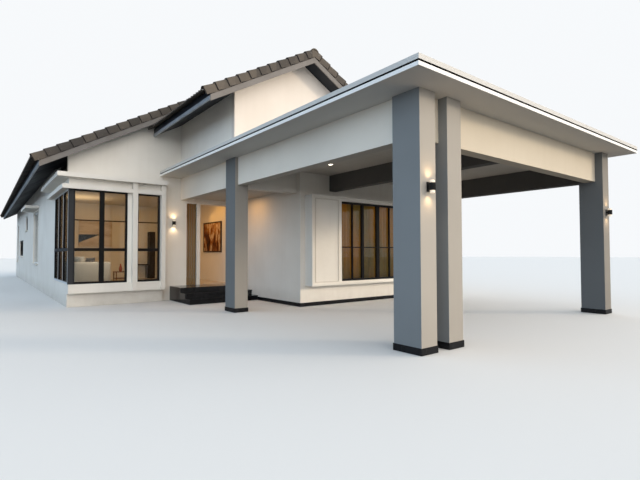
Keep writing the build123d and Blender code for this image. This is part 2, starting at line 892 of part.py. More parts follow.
# Framed picture on the foyer wall
picture_y = gable_y + picture_setback
with BuildPart() as foyer_picture:
    with BuildSketch(side_plane(porch_face - picture_depth)):
        span(
            picture_y - picture_width / 2, picture_y + picture_width / 2,
            picture_level - picture_height / 2, picture_level + picture_height / 2,
        )
    extrude(amount=picture_depth)
    with BuildSketch(side_plane(porch_face - picture_depth)):
        span(
            picture_y - picture_width / 2 + picture_border, picture_y + picture_width / 2 - picture_border,
            picture_level - picture_height / 2 + picture_border,
            picture_level + picture_height / 2 - picture_border,
        )
    extrude(amount=picture_depth / 2, mode=Mode.SUBTRACT)
save(foyer_picture.part, "foyer_picture")

# Sofa along the left wall, its end towards the bay window, on four feet
sofa_left = left_face + wall + sofa_wall_gap
sofa_right = sofa_left + sofa_depth
sofa_front = gable_y + sofa_setback
sofa_rear = sofa_front + sofa_length
sofa_base = floor_level + sofa_leg
with BuildPart() as sofa:
    with BuildSketch(front_plane(sofa_front)):
        span(sofa_left, sofa_right, sofa_base, floor_level + sofa_seat)
        span(sofa_left, sofa_left + sofa_back_depth, sofa_base, floor_level + sofa_back)
    extrude(amount=-sofa_length)
    for arm_y in (sofa_front, sofa_rear - sofa_arm):
        with BuildSketch(front_plane(arm_y)):
            span(sofa_left, sofa_right, sofa_base, floor_level + sofa_arm_height)
        extrude(amount=-sofa_arm)
    with BuildSketch(Plane.XY.offset(floor_level)):
        with Locations(((sofa_left + sofa_right) / 2, (sofa_front + sofa_rear) / 2)):
            with GridLocations(sofa_depth - 2 * sofa_leg_inset, sofa_length - 2 * sofa_leg_inset, 2, 2):
                Circle(sofa_leg / 2)
    extrude(amount=sofa_leg)
save(sofa.part, "sofa")

# Two loose cushions against the sofa's back
cushion_left = sofa_left + sofa_back_depth + seat_clearance
cushion_base = floor_level + sofa_seat + seat_clearance
with BuildPart() as sofa_cushions:
    with BuildSketch(Plane.XY.offset(cushion_base)):
        for cushion_front in (sofa_front + sofa_arm, sofa_rear - sofa_arm - cushion_size):
            span(cushion_left, cushion_left + cushion_depth, cushion_front + seat_clearance,
                 cushion_front + cushion_size - seat_clearance)
    extrude(amount=cushion_size)
save(sofa_cushions.part, "sofa_cushions")

# Wall lamps: a cylinder that shines up and down, on a plate
column_middle = column_left + column_width / 2
right_middle = column_right + column_width / 2
lamp_wall_middle = bay_right + entrance_lamp_offset
with BuildPart() as wall_lamps:
    for x, face in [(column_middle, column_front), (right_middle, column_front), (lamp_wall_middle, gable_y)]:
        with BuildSketch(Plane.XY.offset(lamp_level - lamp_height / 2)):
            with Locations((x, face - lamp_standoff - lamp_radius)):
                Circle(lamp_radius)
        extrude(amount=lamp_height)
        with BuildSketch(front_plane(face)):
            span(x - lamp_plate / 2, x + lamp_plate / 2, lamp_level - lamp_plate, lamp_level + lamp_plate)
        extrude(amount=lamp_standoff + lamp_radius / 2)
save(wall_lamps.part, "wall_lamps")


def opening_frame(plane, across, sill, head, outward):
    """Frame of a plain two-sash window, set inside its opening."""
    low, high = across
    with BuildPart() as frame:
        with BuildSketch(plane):
            window_frame(across, [((low + high) / 2, mullion)], sill, head, [])
        extrude(amount=outward * frame_depth)
    return frame.part


# Windows of the side and rear walls
with BuildPart() as side_window_frames:
    for start, width, sill, head in left_windows:
        across = (start, start + width)
        add(opening_frame(side_plane(left_face + (wall - frame_depth) / 2), across, sill, head, 1))
    for start, width, sill, head in right_windows:
        across = (start, start + width)
        add(opening_frame(side_plane(right_face - (wall + frame_depth) / 2), across, sill, head, 1))
    for start, width, sill, head in rear_windows:
        across = (start, start + width)
        add(opening_frame(front_plane(rear_y - (wall + frame_depth) / 2), across, sill, head, -1))
save(side_window_frames.part, "side_window_frames")

with BuildPart() as side_window_glass:
    for start, width, sill, head in left_windows:
        with BuildSketch(side_plane(left_face + (wall + frame_depth) / 2)):
            span(start, start + width, sill, head)
        extrude(amount=glass)
    for start, width, sill, head in right_windows:
        with BuildSketch(side_plane(right_face - (wall + frame_depth) / 2 - glass)):
            span(start, start + width, sill, head)
        extrude(amount=glass)
    for start, width, sill, head in rear_windows:
        with BuildSketch(front_plane(rear_y - (wall + frame_depth) / 2)):
            span(start, start + width, sill, head)
        extrude(amount=glass)
save(side_window_glass.part, "side_window_glass")

# Projecting sills under the side and rear windows, and a hood over the first left one
with BuildPart() as sills_and_hood:
    for start, width, sill, head in left_windows:
        with BuildSketch(Plane.XY.offset(sill - sill_height)):
            span(left_face - sill_depth, left_face, start, start + width)
        extrude(amount=sill_height)
    for start, width, sill, head in right_windows:
        with BuildSketch(Plane.XY.offset(sill - sill_height)):
            span(right_face, right_face + sill_depth, start, start + width)
        extrude(amount=sill_height)
    for start, width, sill, head in rear_windows:
        with BuildSketch(Plane.XY.offset(sill - sill_height)):
            span(start, start + width, rear_y, rear_y + sill_depth)
        extrude(amount=sill_height)
    start, width, sill, head = left_windows[0]
    with BuildSketch(Plane.XY.offset(head + hood_rise)):
        span(left_face - hood_projection, left_face, start - hood_side, start + width + hood_side)
    extrude(amount=hood_height)
save(sills_and_hood.part, "sills_and_hood")
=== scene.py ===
# %% [markdown]
# # A single-storey house with a carport
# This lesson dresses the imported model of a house. The model already has the walls,
# roof slopes, beams and frames at their true size and place. Blender adds what a
# builder puts on last: tiles, paint, lamps, cloth and the small trim.

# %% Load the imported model
import json
import math
import random
import bmesh
import bpy
from mathutils import Matrix, Vector


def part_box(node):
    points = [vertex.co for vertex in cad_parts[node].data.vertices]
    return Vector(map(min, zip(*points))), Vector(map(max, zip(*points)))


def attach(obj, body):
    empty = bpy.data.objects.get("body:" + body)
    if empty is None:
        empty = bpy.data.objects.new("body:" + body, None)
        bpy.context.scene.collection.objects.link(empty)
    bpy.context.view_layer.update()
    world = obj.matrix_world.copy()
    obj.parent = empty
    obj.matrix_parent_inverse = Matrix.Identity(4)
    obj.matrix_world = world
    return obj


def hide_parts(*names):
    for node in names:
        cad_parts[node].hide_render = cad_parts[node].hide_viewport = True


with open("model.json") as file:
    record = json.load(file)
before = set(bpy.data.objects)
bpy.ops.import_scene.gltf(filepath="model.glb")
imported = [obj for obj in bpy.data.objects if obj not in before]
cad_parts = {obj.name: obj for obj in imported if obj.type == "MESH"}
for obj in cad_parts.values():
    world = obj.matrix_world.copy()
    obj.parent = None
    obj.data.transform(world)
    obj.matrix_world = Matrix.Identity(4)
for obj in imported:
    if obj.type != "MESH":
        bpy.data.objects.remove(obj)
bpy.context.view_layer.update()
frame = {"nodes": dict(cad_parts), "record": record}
nodes = frame["nodes"]

# %% [markdown]
# ## Measures that many pieces share
# The roof slopes meet the sky at one pitch, so every tile needs the same tilt. The
# other values are read from the model's boxes, so a tile or strip starts exactly
# where the part that carries it ends.

# %% Read the shared measures
PITCH = math.radians(29.3)
main_low, main_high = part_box("main_roof_left")
front_low, front_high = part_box("front_roof_left")
right_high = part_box("main_roof_right")[1]
ridge_x = main_high.x
main_deck = main_high.z
front_deck = front_high.z
print("ridge at", round(ridge_x, 3), "decks", round(main_deck, 3), round(front_deck, 3))

# %% [markdown]
# ## Helpers for the mesh
# A bmesh is built up from parts. Its operators take lists of points, edges and faces
# and give such lists back, so a few small helpers keep the later steps short.

# %% Gather and pour geometry
def everything(bm):
    """All the geometry of a bmesh, as the operators take it."""
    return bm.verts[:] + bm.edges[:] + bm.faces[:]


def points_of(geom):
    """The vertices in a list of mixed geometry."""
    return [g for g in geom if isinstance(g, bmesh.types.BMVert)]


def pour(part, bm):
    """Adds a finished part to another bmesh and frees the part."""
    mesh = bpy.data.meshes.new("part")
    part.to_mesh(mesh)
    part.free()
    bm.from_mesh(mesh)
    bpy.data.meshes.remove(mesh)


def pull_strip(bm, line, move):
    """Draws a line through points, pulls it into a strip, and returns its first points."""
    verts = [bm.verts.new(point) for point in line]
    edges = [bm.edges.new(pair) for pair in zip(verts, verts[1:])]
    grown = bmesh.ops.extrude_edge_only(bm, edges=edges)["geom"]
    bmesh.ops.translate(bm, verts=points_of(grown), vec=move)
    return verts


def pull_faces(bm, faces, move):
    """Pulls faces out along a move and closes the sides."""
    grown = bmesh.ops.extrude_face_region(bm, geom=faces)["geom"]
    bmesh.ops.translate(bm, verts=points_of(grown), vec=move)


def cut_beyond(bm, point, outward):
    """Cuts away all that lies beyond a plane."""
    bmesh.ops.bisect_plane(
        bm, geom=everything(bm), dist=0.0001, plane_co=point, plane_no=outward, clear_outer=True,
    )


print("mesh helpers ready")

# %% [markdown]
# ## Shapes that come back
# Most trim starts as a box whose edges are then rounded a little, because no painted or
# cast edge is razor sharp. Rows of equal things are copies of one, and round things are
# an outline spun about an upright line, as on a lathe.

# %% Add boxes, soften, repeat and spin
def add_box(bm, low, high):
    """Adds a box between two corners to a bmesh."""
    size = Vector(high) - Vector(low)
    place = Matrix.Translation((Vector(low) + Vector(high)) / 2) @ Matrix.Diagonal((*size, 1))
    bmesh.ops.create_cube(bm, size=1, matrix=place)


def soften(bm, width, segments=2):
    """Rounds all edges a little, as paint, clay or cast metal does."""
    bmesh.ops.bevel(
        bm, geom=bm.edges[:], offset=width, segments=segments, profile=0.5,
        affect="EDGES", clamp_overlap=True, material=-1,
    )


def repeat(bm, step, copies):
    """Adds copies of all that a bmesh holds, each moved on by one step."""
    bmesh.ops.spin(
        bm, geom=everything(bm), cent=(0, 0, 0), axis=(0, 0, 1), dvec=step, angle=0,
        steps=copies, use_duplicate=True,
    )


def lathe(bm, outline, centre, steps=32):
    """Spins an outline of (radius, height) points about an upright line."""
    verts = [bm.verts.new(centre + Vector((r, 0, z))) for r, z in outline]
    edges = [bm.edges.new(pair) for pair in zip(verts, verts[1:])]
    bmesh.ops.spin(
        bm, geom=verts + edges, cent=centre, axis=(0, 0, 1), angle=2 * math.pi, steps=steps,
        use_merge=True, use_duplicate=False, dvec=(0, 0, 0),
    )
    bmesh.ops.remove_doubles(bm, verts=bm.verts, dist=0.0001)


print("shape helpers ready")

# %% [markdown]
# ## Finish a piece
# Each piece is finished in the same way: its faces are turned outwards, flat edges are
# kept sharp, and it is tied to the model with its finish.

# %% Finish a piece
def new_piece(name, bm, finish, smooth=35, recalc=True):
    """Turns a bmesh into a named piece of the house and ties it to the model."""
    if recalc:
        bmesh.ops.recalc_face_normals(bm, faces=bm.faces)
    mesh = bpy.data.meshes.new(name)
    bm.to_mesh(mesh)
    bm.free()
    piece = bpy.data.objects.new(name, mesh)
    bpy.context.scene.collection.objects.link(piece)
    mesh.materials.append(finish)
    mesh.shade_smooth()
    mesh.set_sharp_from_angle(angle=math.radians(smooth))
    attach(piece, "root")
    print(name, "faces", len(mesh.polygons))
    return piece


# %% [markdown]
# ## Colours
# Colours are written as the red, green and blue of a paint chart, from 0 to 255. The
# shader reckons in linear light, so each value is converted once, here.

# %% Mix colours by the chart
def paint(red, green, blue):
    """A paint chart colour as the linear colour that the shader works with."""
    values = [v / 255 for v in (red, green, blue)]
    linear = [v / 12.92 if v <= 0.04045 else ((v + 0.055) / 1.055) ** 2.4 for v in values]
    return (*linear, 1)


def dimmed(colour, share):
    """The same colour with only a share of its light."""
    return tuple(c * share for c in colour[:3]) + (1,)


print("white paint is", [round(v, 2) for v in paint(238, 234, 226)])

# %% [markdown]
# ## A network of nodes
# Blender builds a finish from nodes: some read the place of a point, some make noise,
# some do arithmetic, and links carry the values on. Written out in full that takes many
# lines, so one class adds a node, fills its sockets and hands back the output. Patterns
# read the place on the object in metres, so they keep their true size on every piece.

# %% Describe a network of nodes
class Network:
    """A node tree under construction: most methods add a node and return its output."""

    def __init__(self, tree):
        self.tree = tree

    def give(self, socket, value):
        """Gives a socket a value, or links a node's output to it."""
        if isinstance(value, bpy.types.NodeSocket):
            self.tree.links.new(value, socket)
        else:
            socket.default_value = value

    def node(self, kind, output, inputs, **settings):
        """Adds a node with its settings and inputs and returns the named output."""
        node = self.tree.nodes.new(kind)
        for name, value in settings.items():
            setattr(node, name, value)
        for name, value in inputs.items():
            self.give(node.inputs[name], value)
        return node.outputs[output]

    def place(self, scale=(1, 1, 1), turn=(0, 0, 0), shift=(0, 0, 0)):
        """The point on the object, in metres, turned and stretched."""
        where = self.node("ShaderNodeTexCoord", "Object", {})
        inputs = {"Vector": where, "Scale": scale, "Rotation": turn, "Location": shift}
        return self.node("ShaderNodeMapping", "Vector", inputs)

    def clouds(self, where, scale, detail=3, rough=0.5):
        """Soft irregular patches from 0 to 1."""
        inputs = {"Vector": where, "Scale": scale, "Detail": detail, "Roughness": rough}
        return self.node("ShaderNodeTexNoise", "Fac", inputs)

    def levels(self, value, low, high, to_low=0.0, to_high=1.0):
        """Stretches a value between two limits onto a new range."""
        inputs = {
            "Value": value, "From Min": low, "From Max": high, "To Min": to_low, "To Max": to_high,
        }
        return self.node("ShaderNodeMapRange", "Result", inputs)

    def mix(self, amount, first, second, way="MIX"):
        """Mixes two colours by an amount."""
        node = self.tree.nodes.new("ShaderNodeMix")
        node.data_type = "RGBA"
        node.blend_type = way
        for number, value in ((0, amount), (6, first), (7, second)):
            self.give(node.inputs[number], value)
        return node.outputs[2]

    def sum(self, operation, first, second=0.0):
        """One step of arithmetic on two values."""
        return self.node("ShaderNodeMath", 0, {0: first, 1: second}, operation=operation)

    def axis(self, where, name):
        """One coordinate of a point."""
        return self.node("ShaderNodeSeparateXYZ", name, {"Vector": where})

    def below(self, where, name, limit):
        """1 where a coordinate is less than a limit, and 0 elsewhere."""
        return self.sum("LESS_THAN", self.axis(where, name), limit)

    def above(self, where, name, limit):
        """1 where a coordinate is more than a limit, and 0 elsewhere."""
        return self.sum("GREATER_THAN", self.axis(where, name), limit)

    def joints(self, size, shift=(0, 0, 0)):
        """Thin joint lines between slabs of a size in metres."""
        inputs = {
            "Vector": self.place(scale=[1 / side for side in size], shift=shift),
            "Scale": 1.0, "Mortar Size": 0.004, "Brick Width": 1.0, "Row Height": 1.0,
        }
        return self.node("ShaderNodeTexBrick", "Fac", inputs, offset=0.0, squash=1.0)

    def relief(self, height, depth, strength=1.0, under=None):
        """Bumps of a given depth in metres, over other bumps if there are any."""
        inputs = {"Height": height, "Distance": depth, "Strength": strength}
        if under is not None:
            inputs["Normal"] = under
        return self.node("ShaderNodeBump", "Normal", inputs)


print("network class ready")

# %% [markdown]
# ## A finish
# A material starts from the one shader that Blender gives it, with a colour and a
# roughness. Soft patches and fine even bumps come back on most parts of a house, so
# they get a method each.

# %% Start a finish
class Finish(Network):
    """A material under construction, with its colour and roughness to begin with."""

    def __init__(self, name, colour, roughness, **sockets):
        self.material = bpy.data.materials.new(name)
        self.material.use_nodes = True
        super().__init__(self.material.node_tree)
        self.shader = self.tree.nodes["Principled BSDF"]
        self.set("Base Color", colour)
        self.set("Roughness", roughness)
        for socket, value in sockets.items():
            self.set(socket.replace("_", " "), value)

    def set(self, socket, value):
        """Gives a shader socket a value, or links a node's output to it."""
        self.give(self.shader.inputs[socket], value)

    def patches(self, scale=0.7, most=1.0):
        """The broad soft patches that a float or a roller leaves."""
        return self.levels(self.clouds(self.place(), scale, 4), 0.35, 0.7, 0, most)

    def grain(self, scale, depth, strength, detail=2, rough=0.5):
        """Gives the whole piece fine even bumps."""
        bumps = self.clouds(self.place(), scale, detail, rough)
        self.set("Normal", self.relief(bumps, depth, strength))


print("finish class ready")

# %% [markdown]
# ## Wall render
# The walls are sand and cement render under masonry paint. Close to, it has a fine
# sandy grain; from the street, the float's broad sweeps show as faint patches, and
# rain leaves a soft grey tone low on the wall. One function makes all the wall paints,
# because only the colour and the dirt differ.

# %% Make the wall paints
def wall_paint(name, colour, shade, dirt=paint(168, 158, 144)):
    """Masonry paint on floated render; shade is the tone of its duller patches."""
    made = Finish(name, colour, 0.85)
    where = made.place()
    tone = made.mix(made.patches(most=0.6), colour, shade)
    streaks = made.clouds(made.place(scale=(9, 9, 0.35)), 1.0)
    tone = made.mix(made.levels(streaks, 0.5, 0.8, 0, 0.25), tone, shade)
    low_down = made.levels(made.axis(where, "Z"), 0.0, 0.45, 0.55, 0.0)
    splash = made.sum("MULTIPLY", low_down, made.clouds(where, 5, 4))
    made.set("Base Color", made.mix(splash, tone, dirt))
    float_marks = made.clouds(made.place(scale=(1, 1, 1.8)), 6)
    coarse = made.relief(float_marks, 0.004, 0.35)
    sand = made.clouds(where, 240, 2, 0.6)
    made.set("Normal", made.relief(sand, 0.0012, 0.5, coarse))
    return made.material


white_paint = wall_paint("white_wall_paint", paint(238, 234, 226), paint(222, 216, 206))
# Painted shade: the upper front wall takes a dimmer copy of the white paint.
shaded_gable_paint = wall_paint("upper_front_painted_shade", paint(225, 217, 209), paint(210, 201, 191))
# Painted shade and painted warm sunlight: the front beam takes a darker, warmer copy of the white
# paint.
front_beam_shade_and_sun = wall_paint("front_beam_painted_shade_and_sun", paint(212, 201, 182), paint(200, 188, 168))
# Painted shade: the beams that take this dark grey stand in shade under the slab.
shaded_beam_grey = wall_paint("beam_painted_shade", paint(98, 96, 93), paint(84, 82, 80), paint(76, 73, 70))
# Painted shade: the raised moulding takes a darker copy of the white paint so the frame shows.
moulding_painted_shade = wall_paint(
    "moulding_painted_shade", paint(218, 212, 202), paint(200, 194, 184), paint(176, 167, 154),
)
print("wall paints", white_paint.name, shaded_gable_paint.name, front_beam_shade_and_sun.name, shaded_beam_grey.name)

# %% [markdown]
# ## Column paint
# The columns are grey. The side that looks away from the drive is painted a cooler and
# deeper grey, as painted shade. A face of a node is told apart by its place: it lies within
# a skin's thickness of the node's own box. Columns further back stand in more shade, so each
# may be given a share of the light, which dims its grey as painted shade.

# %% Make the column paint
SKIN = 0.0015


def column_paint(node, share=1.0):
    """Grey paint for one column, with painted shade on the side away from the drive."""
    tone = dimmed(paint(172, 166, 157), share)
    made = Finish(node + "_paint", tone, 0.85)
    front = made.mix(made.patches(most=0.6), tone, dimmed(tone, 0.86))
    # Painted shade: the side away from the drive is multiplied by a cool blue.
    painted_cool_shade = made.mix(1.0, front, (0.56, 0.64, 0.74, 1), "MULTIPLY")
    side = made.below(made.place(), "X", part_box(node)[0].x + SKIN)
    made.set("Base Color", made.mix(side, front, painted_cool_shade))
    made.grain(240, 0.0012, 0.5, rough=0.6)
    return made.material


# Each share dims a column's grey: painted shade for columns that stand deeper in shade.
column_shares = {
    "front_left_column": 1.0, "second_front_column": 0.95,
    "front_right_column": 0.66, "rear_left_column": 0.8,
}
column_paints = {node: column_paint(node, share) for node, share in column_shares.items()}
print("column paints", len(column_paints))

# %% [markdown]
# ## Slab edge, beam, ceiling and floor
# The carport's slab has a thin groove all round its edge. The groove's recess is in the
# model, and its shadow is painted: the paint darkens a band of heights a little wider than
# the recess. The soffit is painted duller than the edge, as painted shade. The left beam's
# sides are painted a warmer white, as painted warm light, and its underside duller, as
# painted shade. The ceiling is board in wide sheets, with joints that barely show, and
# the floor indoors is polished tile.

# %% Make the slab, beam, ceiling and floor finishes
# Heights of the band that the painted groove shadow darkens.
GROOVE_FOOT, GROOVE_TOP = 3.744, 3.772


def slab_finish():
    """White edge paint, a painted shadow in the groove, and a soffit painted duller as shade."""
    made = Finish("slab_paint", paint(236, 234, 230), 0.7)
    where = made.place()
    tone = made.mix(made.patches(0.9), paint(250, 249, 246), paint(240, 238, 234))
    above = made.above(where, "Z", GROOVE_FOOT)
    # Painted shadow: the groove's band of heights is darkened nearly to black.
    groove = made.sum("MULTIPLY", above, made.below(where, "Z", GROOVE_TOP))
    tone = made.mix(made.sum("MULTIPLY", above, 0.8), tone, paint(196, 194, 190))
    tone = made.mix(groove, tone, paint(40, 40, 42))
    # Painted shade: the soffit takes a duller white.
    soffit = made.below(where, "Z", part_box("carport_roof")[0].z + SKIN)
    made.set("Base Color", made.mix(soffit, tone, paint(208, 206, 201)))
    made.grain(180, 0.001, 0.35)
    return made.material


def beam_finish():
    """Left beam paint: warmer sides as painted warm light, a duller underside as painted shade."""
    made = Finish("beam_paint", paint(238, 234, 226), 0.85)
    # Painted warm light: the sides take a warmer white than the wall paint.
    tone = made.mix(made.patches(most=0.6), paint(240, 232, 219), paint(225, 217, 205))
    # Painted shade: the underside takes a duller white.
    under = made.below(made.place(), "Z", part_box("left_beam")[0].z + SKIN)
    made.set("Base Color", made.mix(under, tone, paint(196, 190, 180)))
    made.grain(240, 0.0012, 0.5, rough=0.6)
    return made.material


def ceiling_finish():
    """Matt board paint with joints every 1.2 m by 2.4 m."""
    made = Finish("ceiling_paint", paint(205, 198, 188), 0.9)
    patches = made.levels(made.clouds(made.place(), 0.8), 0.3, 0.7)
    tone = made.mix(patches, paint(208, 202, 192), paint(198, 191, 180))
    joint = made.sum("MULTIPLY", made.joints((1.2, 2.4, 1)), 0.25)
    made.set("Base Color", made.mix(joint, tone, paint(150, 143, 134)))
    made.grain(150, 0.0008, 0.3)
    return made.material


def floor_finish():
    """Large polished floor tiles, 600 mm square."""
    made = Finish("floor_tiles", paint(196, 186, 172), 0.25)
    veins = made.levels(made.clouds(made.place(), 2.2, 6, 0.65), 0.35, 0.7)
    tone = made.mix(veins, paint(204, 196, 184), paint(184, 174, 160))
    made.set("Base Color", made.mix(made.joints((0.6, 0.6, 1)), tone, paint(120, 114, 106)))
    return made.material


slab_paint = slab_finish()
beam_paint = beam_finish()
ceiling_paint = ceiling_finish()
floor_tiles = floor_finish()
print("slab, beam, ceiling and floor finishes made")

# %% [markdown]
# ## Roof tile
# The roof has concrete tiles, grey-brown and weathered. No two are quite the same:
# each takes its own tone from its place in the grid of courses, and lichen and soot
# leave small light and dark specks. The grid follows the tile's cover width along
# the roof and its exposure down the slope.

# %% Make the tile finish
TILE_WIDTH = 0.3
TILE_RUN = 0.28


def tile_finish():
    """Weathered concrete, toned tile by tile."""
    made = Finish("roof_tile_concrete", paint(112, 104, 98), 0.9)
    where = made.place()
    cells = made.place(scale=(1 / TILE_RUN, 1 / TILE_WIDTH, 1), shift=(0.02, 0.39, 0))
    vector_math = "ShaderNodeVectorMath"
    snapped = made.node(vector_math, "Vector", {0: cells}, operation="FLOOR")
    flat = made.node(vector_math, "Vector", {0: snapped, 1: (1, 1, 0)}, operation="MULTIPLY")
    each = made.node("ShaderNodeTexWhiteNoise", "Value", {"Vector": flat}, noise_dimensions="3D")
    tone = made.mix(each, paint(72, 67, 62), paint(106, 97, 87))
    patches = made.levels(made.clouds(where, 1.3, 5, 0.6), 0.4, 0.7, 0, 0.5)
    tone = made.mix(patches, tone, paint(70, 67, 66))
    lichen = made.levels(made.clouds(where, 38, 4, 0.7), 0.62, 0.72, 0, 0.45)
    tone = made.mix(lichen, tone, paint(160, 154, 142))
    soot = made.levels(made.clouds(where, 22, 5, 0.7), 0.58, 0.75, 0, 0.6)
    made.set("Base Color", made.mix(soot, tone, paint(58, 54, 52)))
    made.grain(160, 0.002, 0.6, 3, 0.7)
    return made.material


tile_concrete = tile_finish()
print("tile finish made", tile_concrete.name)

# %% [markdown]
# ## Painted timber
# Bargeboards, eave boards, soffits and furniture are timber under paint or stain. The
# grain is noise stretched along the board, and dust dulls the colour in places.

# %% Make the timber finishes
def board_paint(name, colour, worn, roughness, along):
    """Painted timber with faint grain along one axis and dust in the low places."""
    made = Finish(name, colour, roughness)
    stretch = tuple(0.6 if axis == along else 14 for axis in "XYZ")
    grain = made.clouds(made.place(scale=stretch), 2.0, 5, 0.6)
    dust = made.levels(made.clouds(made.place(), 1.7, 5, 0.6), 0.45, 0.75)
    made.set("Base Color", made.mix(made.sum("MULTIPLY", dust, 0.7), colour, worn))
    made.set("Roughness", made.levels(dust, 0, 1, roughness, roughness + 0.25))
    made.set("Normal", made.relief(grain, 0.0015, 0.3))
    return made.material


barge_paint = board_paint("bargeboard_paint", paint(126, 121, 117), paint(108, 103, 98), 0.5, "X")
fascia_paint = board_paint("eave_paint", paint(34, 40, 50), paint(46, 52, 60), 0.35, "Y")
# Painted highlight: the trim's pale grey stands for sky light on the eave board's lower edge.
painted_highlight_trim = board_paint("eave_painted_highlight", paint(150, 156, 164), paint(128, 132, 138), 0.35, "Y")
soffit_boards = board_paint("soffit_boards", paint(14, 21, 31), paint(20, 27, 37), 0.6, "Y")
dark_wood = board_paint("dark_wood", paint(32, 24, 19), paint(42, 32, 26), 0.55, "Z")
table_wood = board_paint("low_table_wood", paint(120, 76, 48), paint(96, 60, 38), 0.4, "X")
slat_wood = board_paint("slat_wood", paint(236, 186, 126), paint(204, 152, 96), 0.5, "Z")
print("timber finishes made")

# %% [markdown]
# ## Black tile
# The steps and skirtings are black porcelain tile, nearly smooth, with pale clouds.

# %% Make the black tile
def black_tile_finish():
    """Honed black porcelain with joints every 600 mm."""
    made = Finish("black_porcelain", paint(38, 39, 42), 0.28)
    veins = made.levels(made.clouds(made.place(), 3.0, 5, 0.6), 0.4, 0.75)
    tone = made.mix(veins, paint(26, 26, 28), paint(36, 36, 39))
    joint = made.joints((0.6, 0.6, 0.6), shift=(0.35, 0.2, 0.0))
    made.set("Base Color", made.mix(joint, tone, paint(52, 51, 50)))
    made.set("Roughness", made.levels(veins, 0, 1, 0.14, 0.24))
    made.grain(90, 0.0004, 0.2, 3)
    return made.material


black_tile = black_tile_finish()
print("black tile made", black_tile.name)

# %% [markdown]
# ## Powder coat
# The window frames are powder-coated aluminium. Three of them have a paler part: the
# tall side window under the hood is white, the bay's broad corner post has a painted
# highlight towards its left edge, and the bay's side mullions have a painted reflection
# of the sky on their outer edges. Each has a small function that tells where the pale
# part is.

# %% Make the metal coats
FRAME_BLACK, FRAME_WORN = paint(22, 21, 22), paint(34, 32, 33)
TALL_WINDOW_START, TALL_WINDOW_END = 1.7, 3.85
# Painted highlight: the corner post is pale up to POST_START and fades out by POST_END.
POST_START, POST_END = -4.95, -4.905
RAIL_FOOT, RAIL_TOP = 1.46, 1.55


def coated_metal(name, colour, roughness, worn=None, shine=0.35, pale=None, is_pale=None):
    """Powder coat: a fine orange peel over one colour, or a pale one where is_pale says so."""
    made = Finish(name, colour, roughness)
    worn = worn or tuple(min(1, c * 1.6 + 0.01) for c in colour[:3]) + (1,)
    wear = made.levels(made.clouds(made.place(), 3, 4), 0.4, 0.8, 0, 0.3)
    tone = made.mix(wear, colour, worn)
    if is_pale:
        tone = made.mix(is_pale(made), tone, pale)
    made.set("Base Color", tone)
    made.set("Specular IOR Level", shine)
    made.grain(700, 0.0003, 0.25)
    return made.material


def tall_window(made):
    """The tall window under the hood, on the left side of the house."""
    where = made.place()
    after = made.above(where, "Y", TALL_WINDOW_START)
    before = made.below(where, "Y", TALL_WINDOW_END)
    return made.sum("MULTIPLY", made.sum("MULTIPLY", after, before), made.below(where, "X", 0.0))


def post_highlight(made):
    """The painted highlight that fades across the bay's broad corner post."""
    return made.levels(made.axis(made.place(), "X"), POST_START, POST_END, 1.0, 0.0)


def sky_reflection_edges(made):
    """Painted sky reflection on the bay's side mullions' outer edges, apart from the rail."""
    where = made.place()
    edge = made.below(where, "X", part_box("bay_side_frame")[0].x + SKIN)
    clear = made.sum("ADD", made.below(where, "Z", RAIL_FOOT), made.above(where, "Z", RAIL_TOP))
    return made.sum("MULTIPLY", edge, clear)


frame_metal = coated_metal("charcoal_frame_coat", FRAME_BLACK, 0.35)
side_frame_coat = coated_metal(
    "side_frame_coat", paint(30, 28, 29), 0.35, paint(44, 42, 43), 0.5,
    paint(220, 222, 220), tall_window,
)
bay_frame_coat = coated_metal(
    "bay_frame_coat", FRAME_BLACK, 0.35, FRAME_WORN, pale=paint(56, 57, 60), is_pale=post_highlight,
)
# Painted reflection: the pale edge colour stands for the sky mirrored in the mullions.
bay_side_coat = coated_metal(
    "bay_side_coat", FRAME_BLACK, 0.35, FRAME_WORN, pale=paint(214, 218, 222), is_pale=sky_reflection_edges,
)
lamp_metal = coated_metal("lamp_black_coat", paint(30, 30, 31), 0.4)
picture_frame = coated_metal("picture_frame_wood", paint(62, 44, 32), 0.5)
print("metal coats made")

# %% [markdown]
# ## Glass
# Window glass is a clear sheet that bends light and mirrors more of it at a grazing
# angle, which plain transparency wouldn't do. The lamps' glass simply gives its own
# light, because the bulb behind it isn't modelled.

# %% Make the glass
def clear_glass():
    """Float glass, slightly grey, with the faint waves of a large pane."""
    made = Finish("clear_glass", paint(226, 232, 230), 0.0, Transmission_Weight=1.0, IOR=1.45)
    made.grain(0.9, 0.002, 0.08)
    return made.material


def glowing(name, colour, strength):
    """Frosted glass or a lamp's face that gives its own light."""
    made = Finish(name, colour, 0.35, Emission_Color=colour, Emission_Strength=strength)
    return made.material


window_glass = clear_glass()
lamp_glow = glowing("lamp_glow", (1.0, 0.84, 0.66, 1), 0.35)
ceiling_glow = glowing("ceiling_glow", (1.0, 0.86, 0.66, 1), 9.0)
print("glass made", window_glass.name, lamp_glow.name, ceiling_glow.name)

# %% [markdown]
# ## Cloth
# Sofa, cushions, drapes and blind are woven. A weave is two sets of threads at right
# angles, so two wave patterns make its bumps. It reads the piece's own coordinates
# in metres, and threads a few millimetres apart are enough from the street.

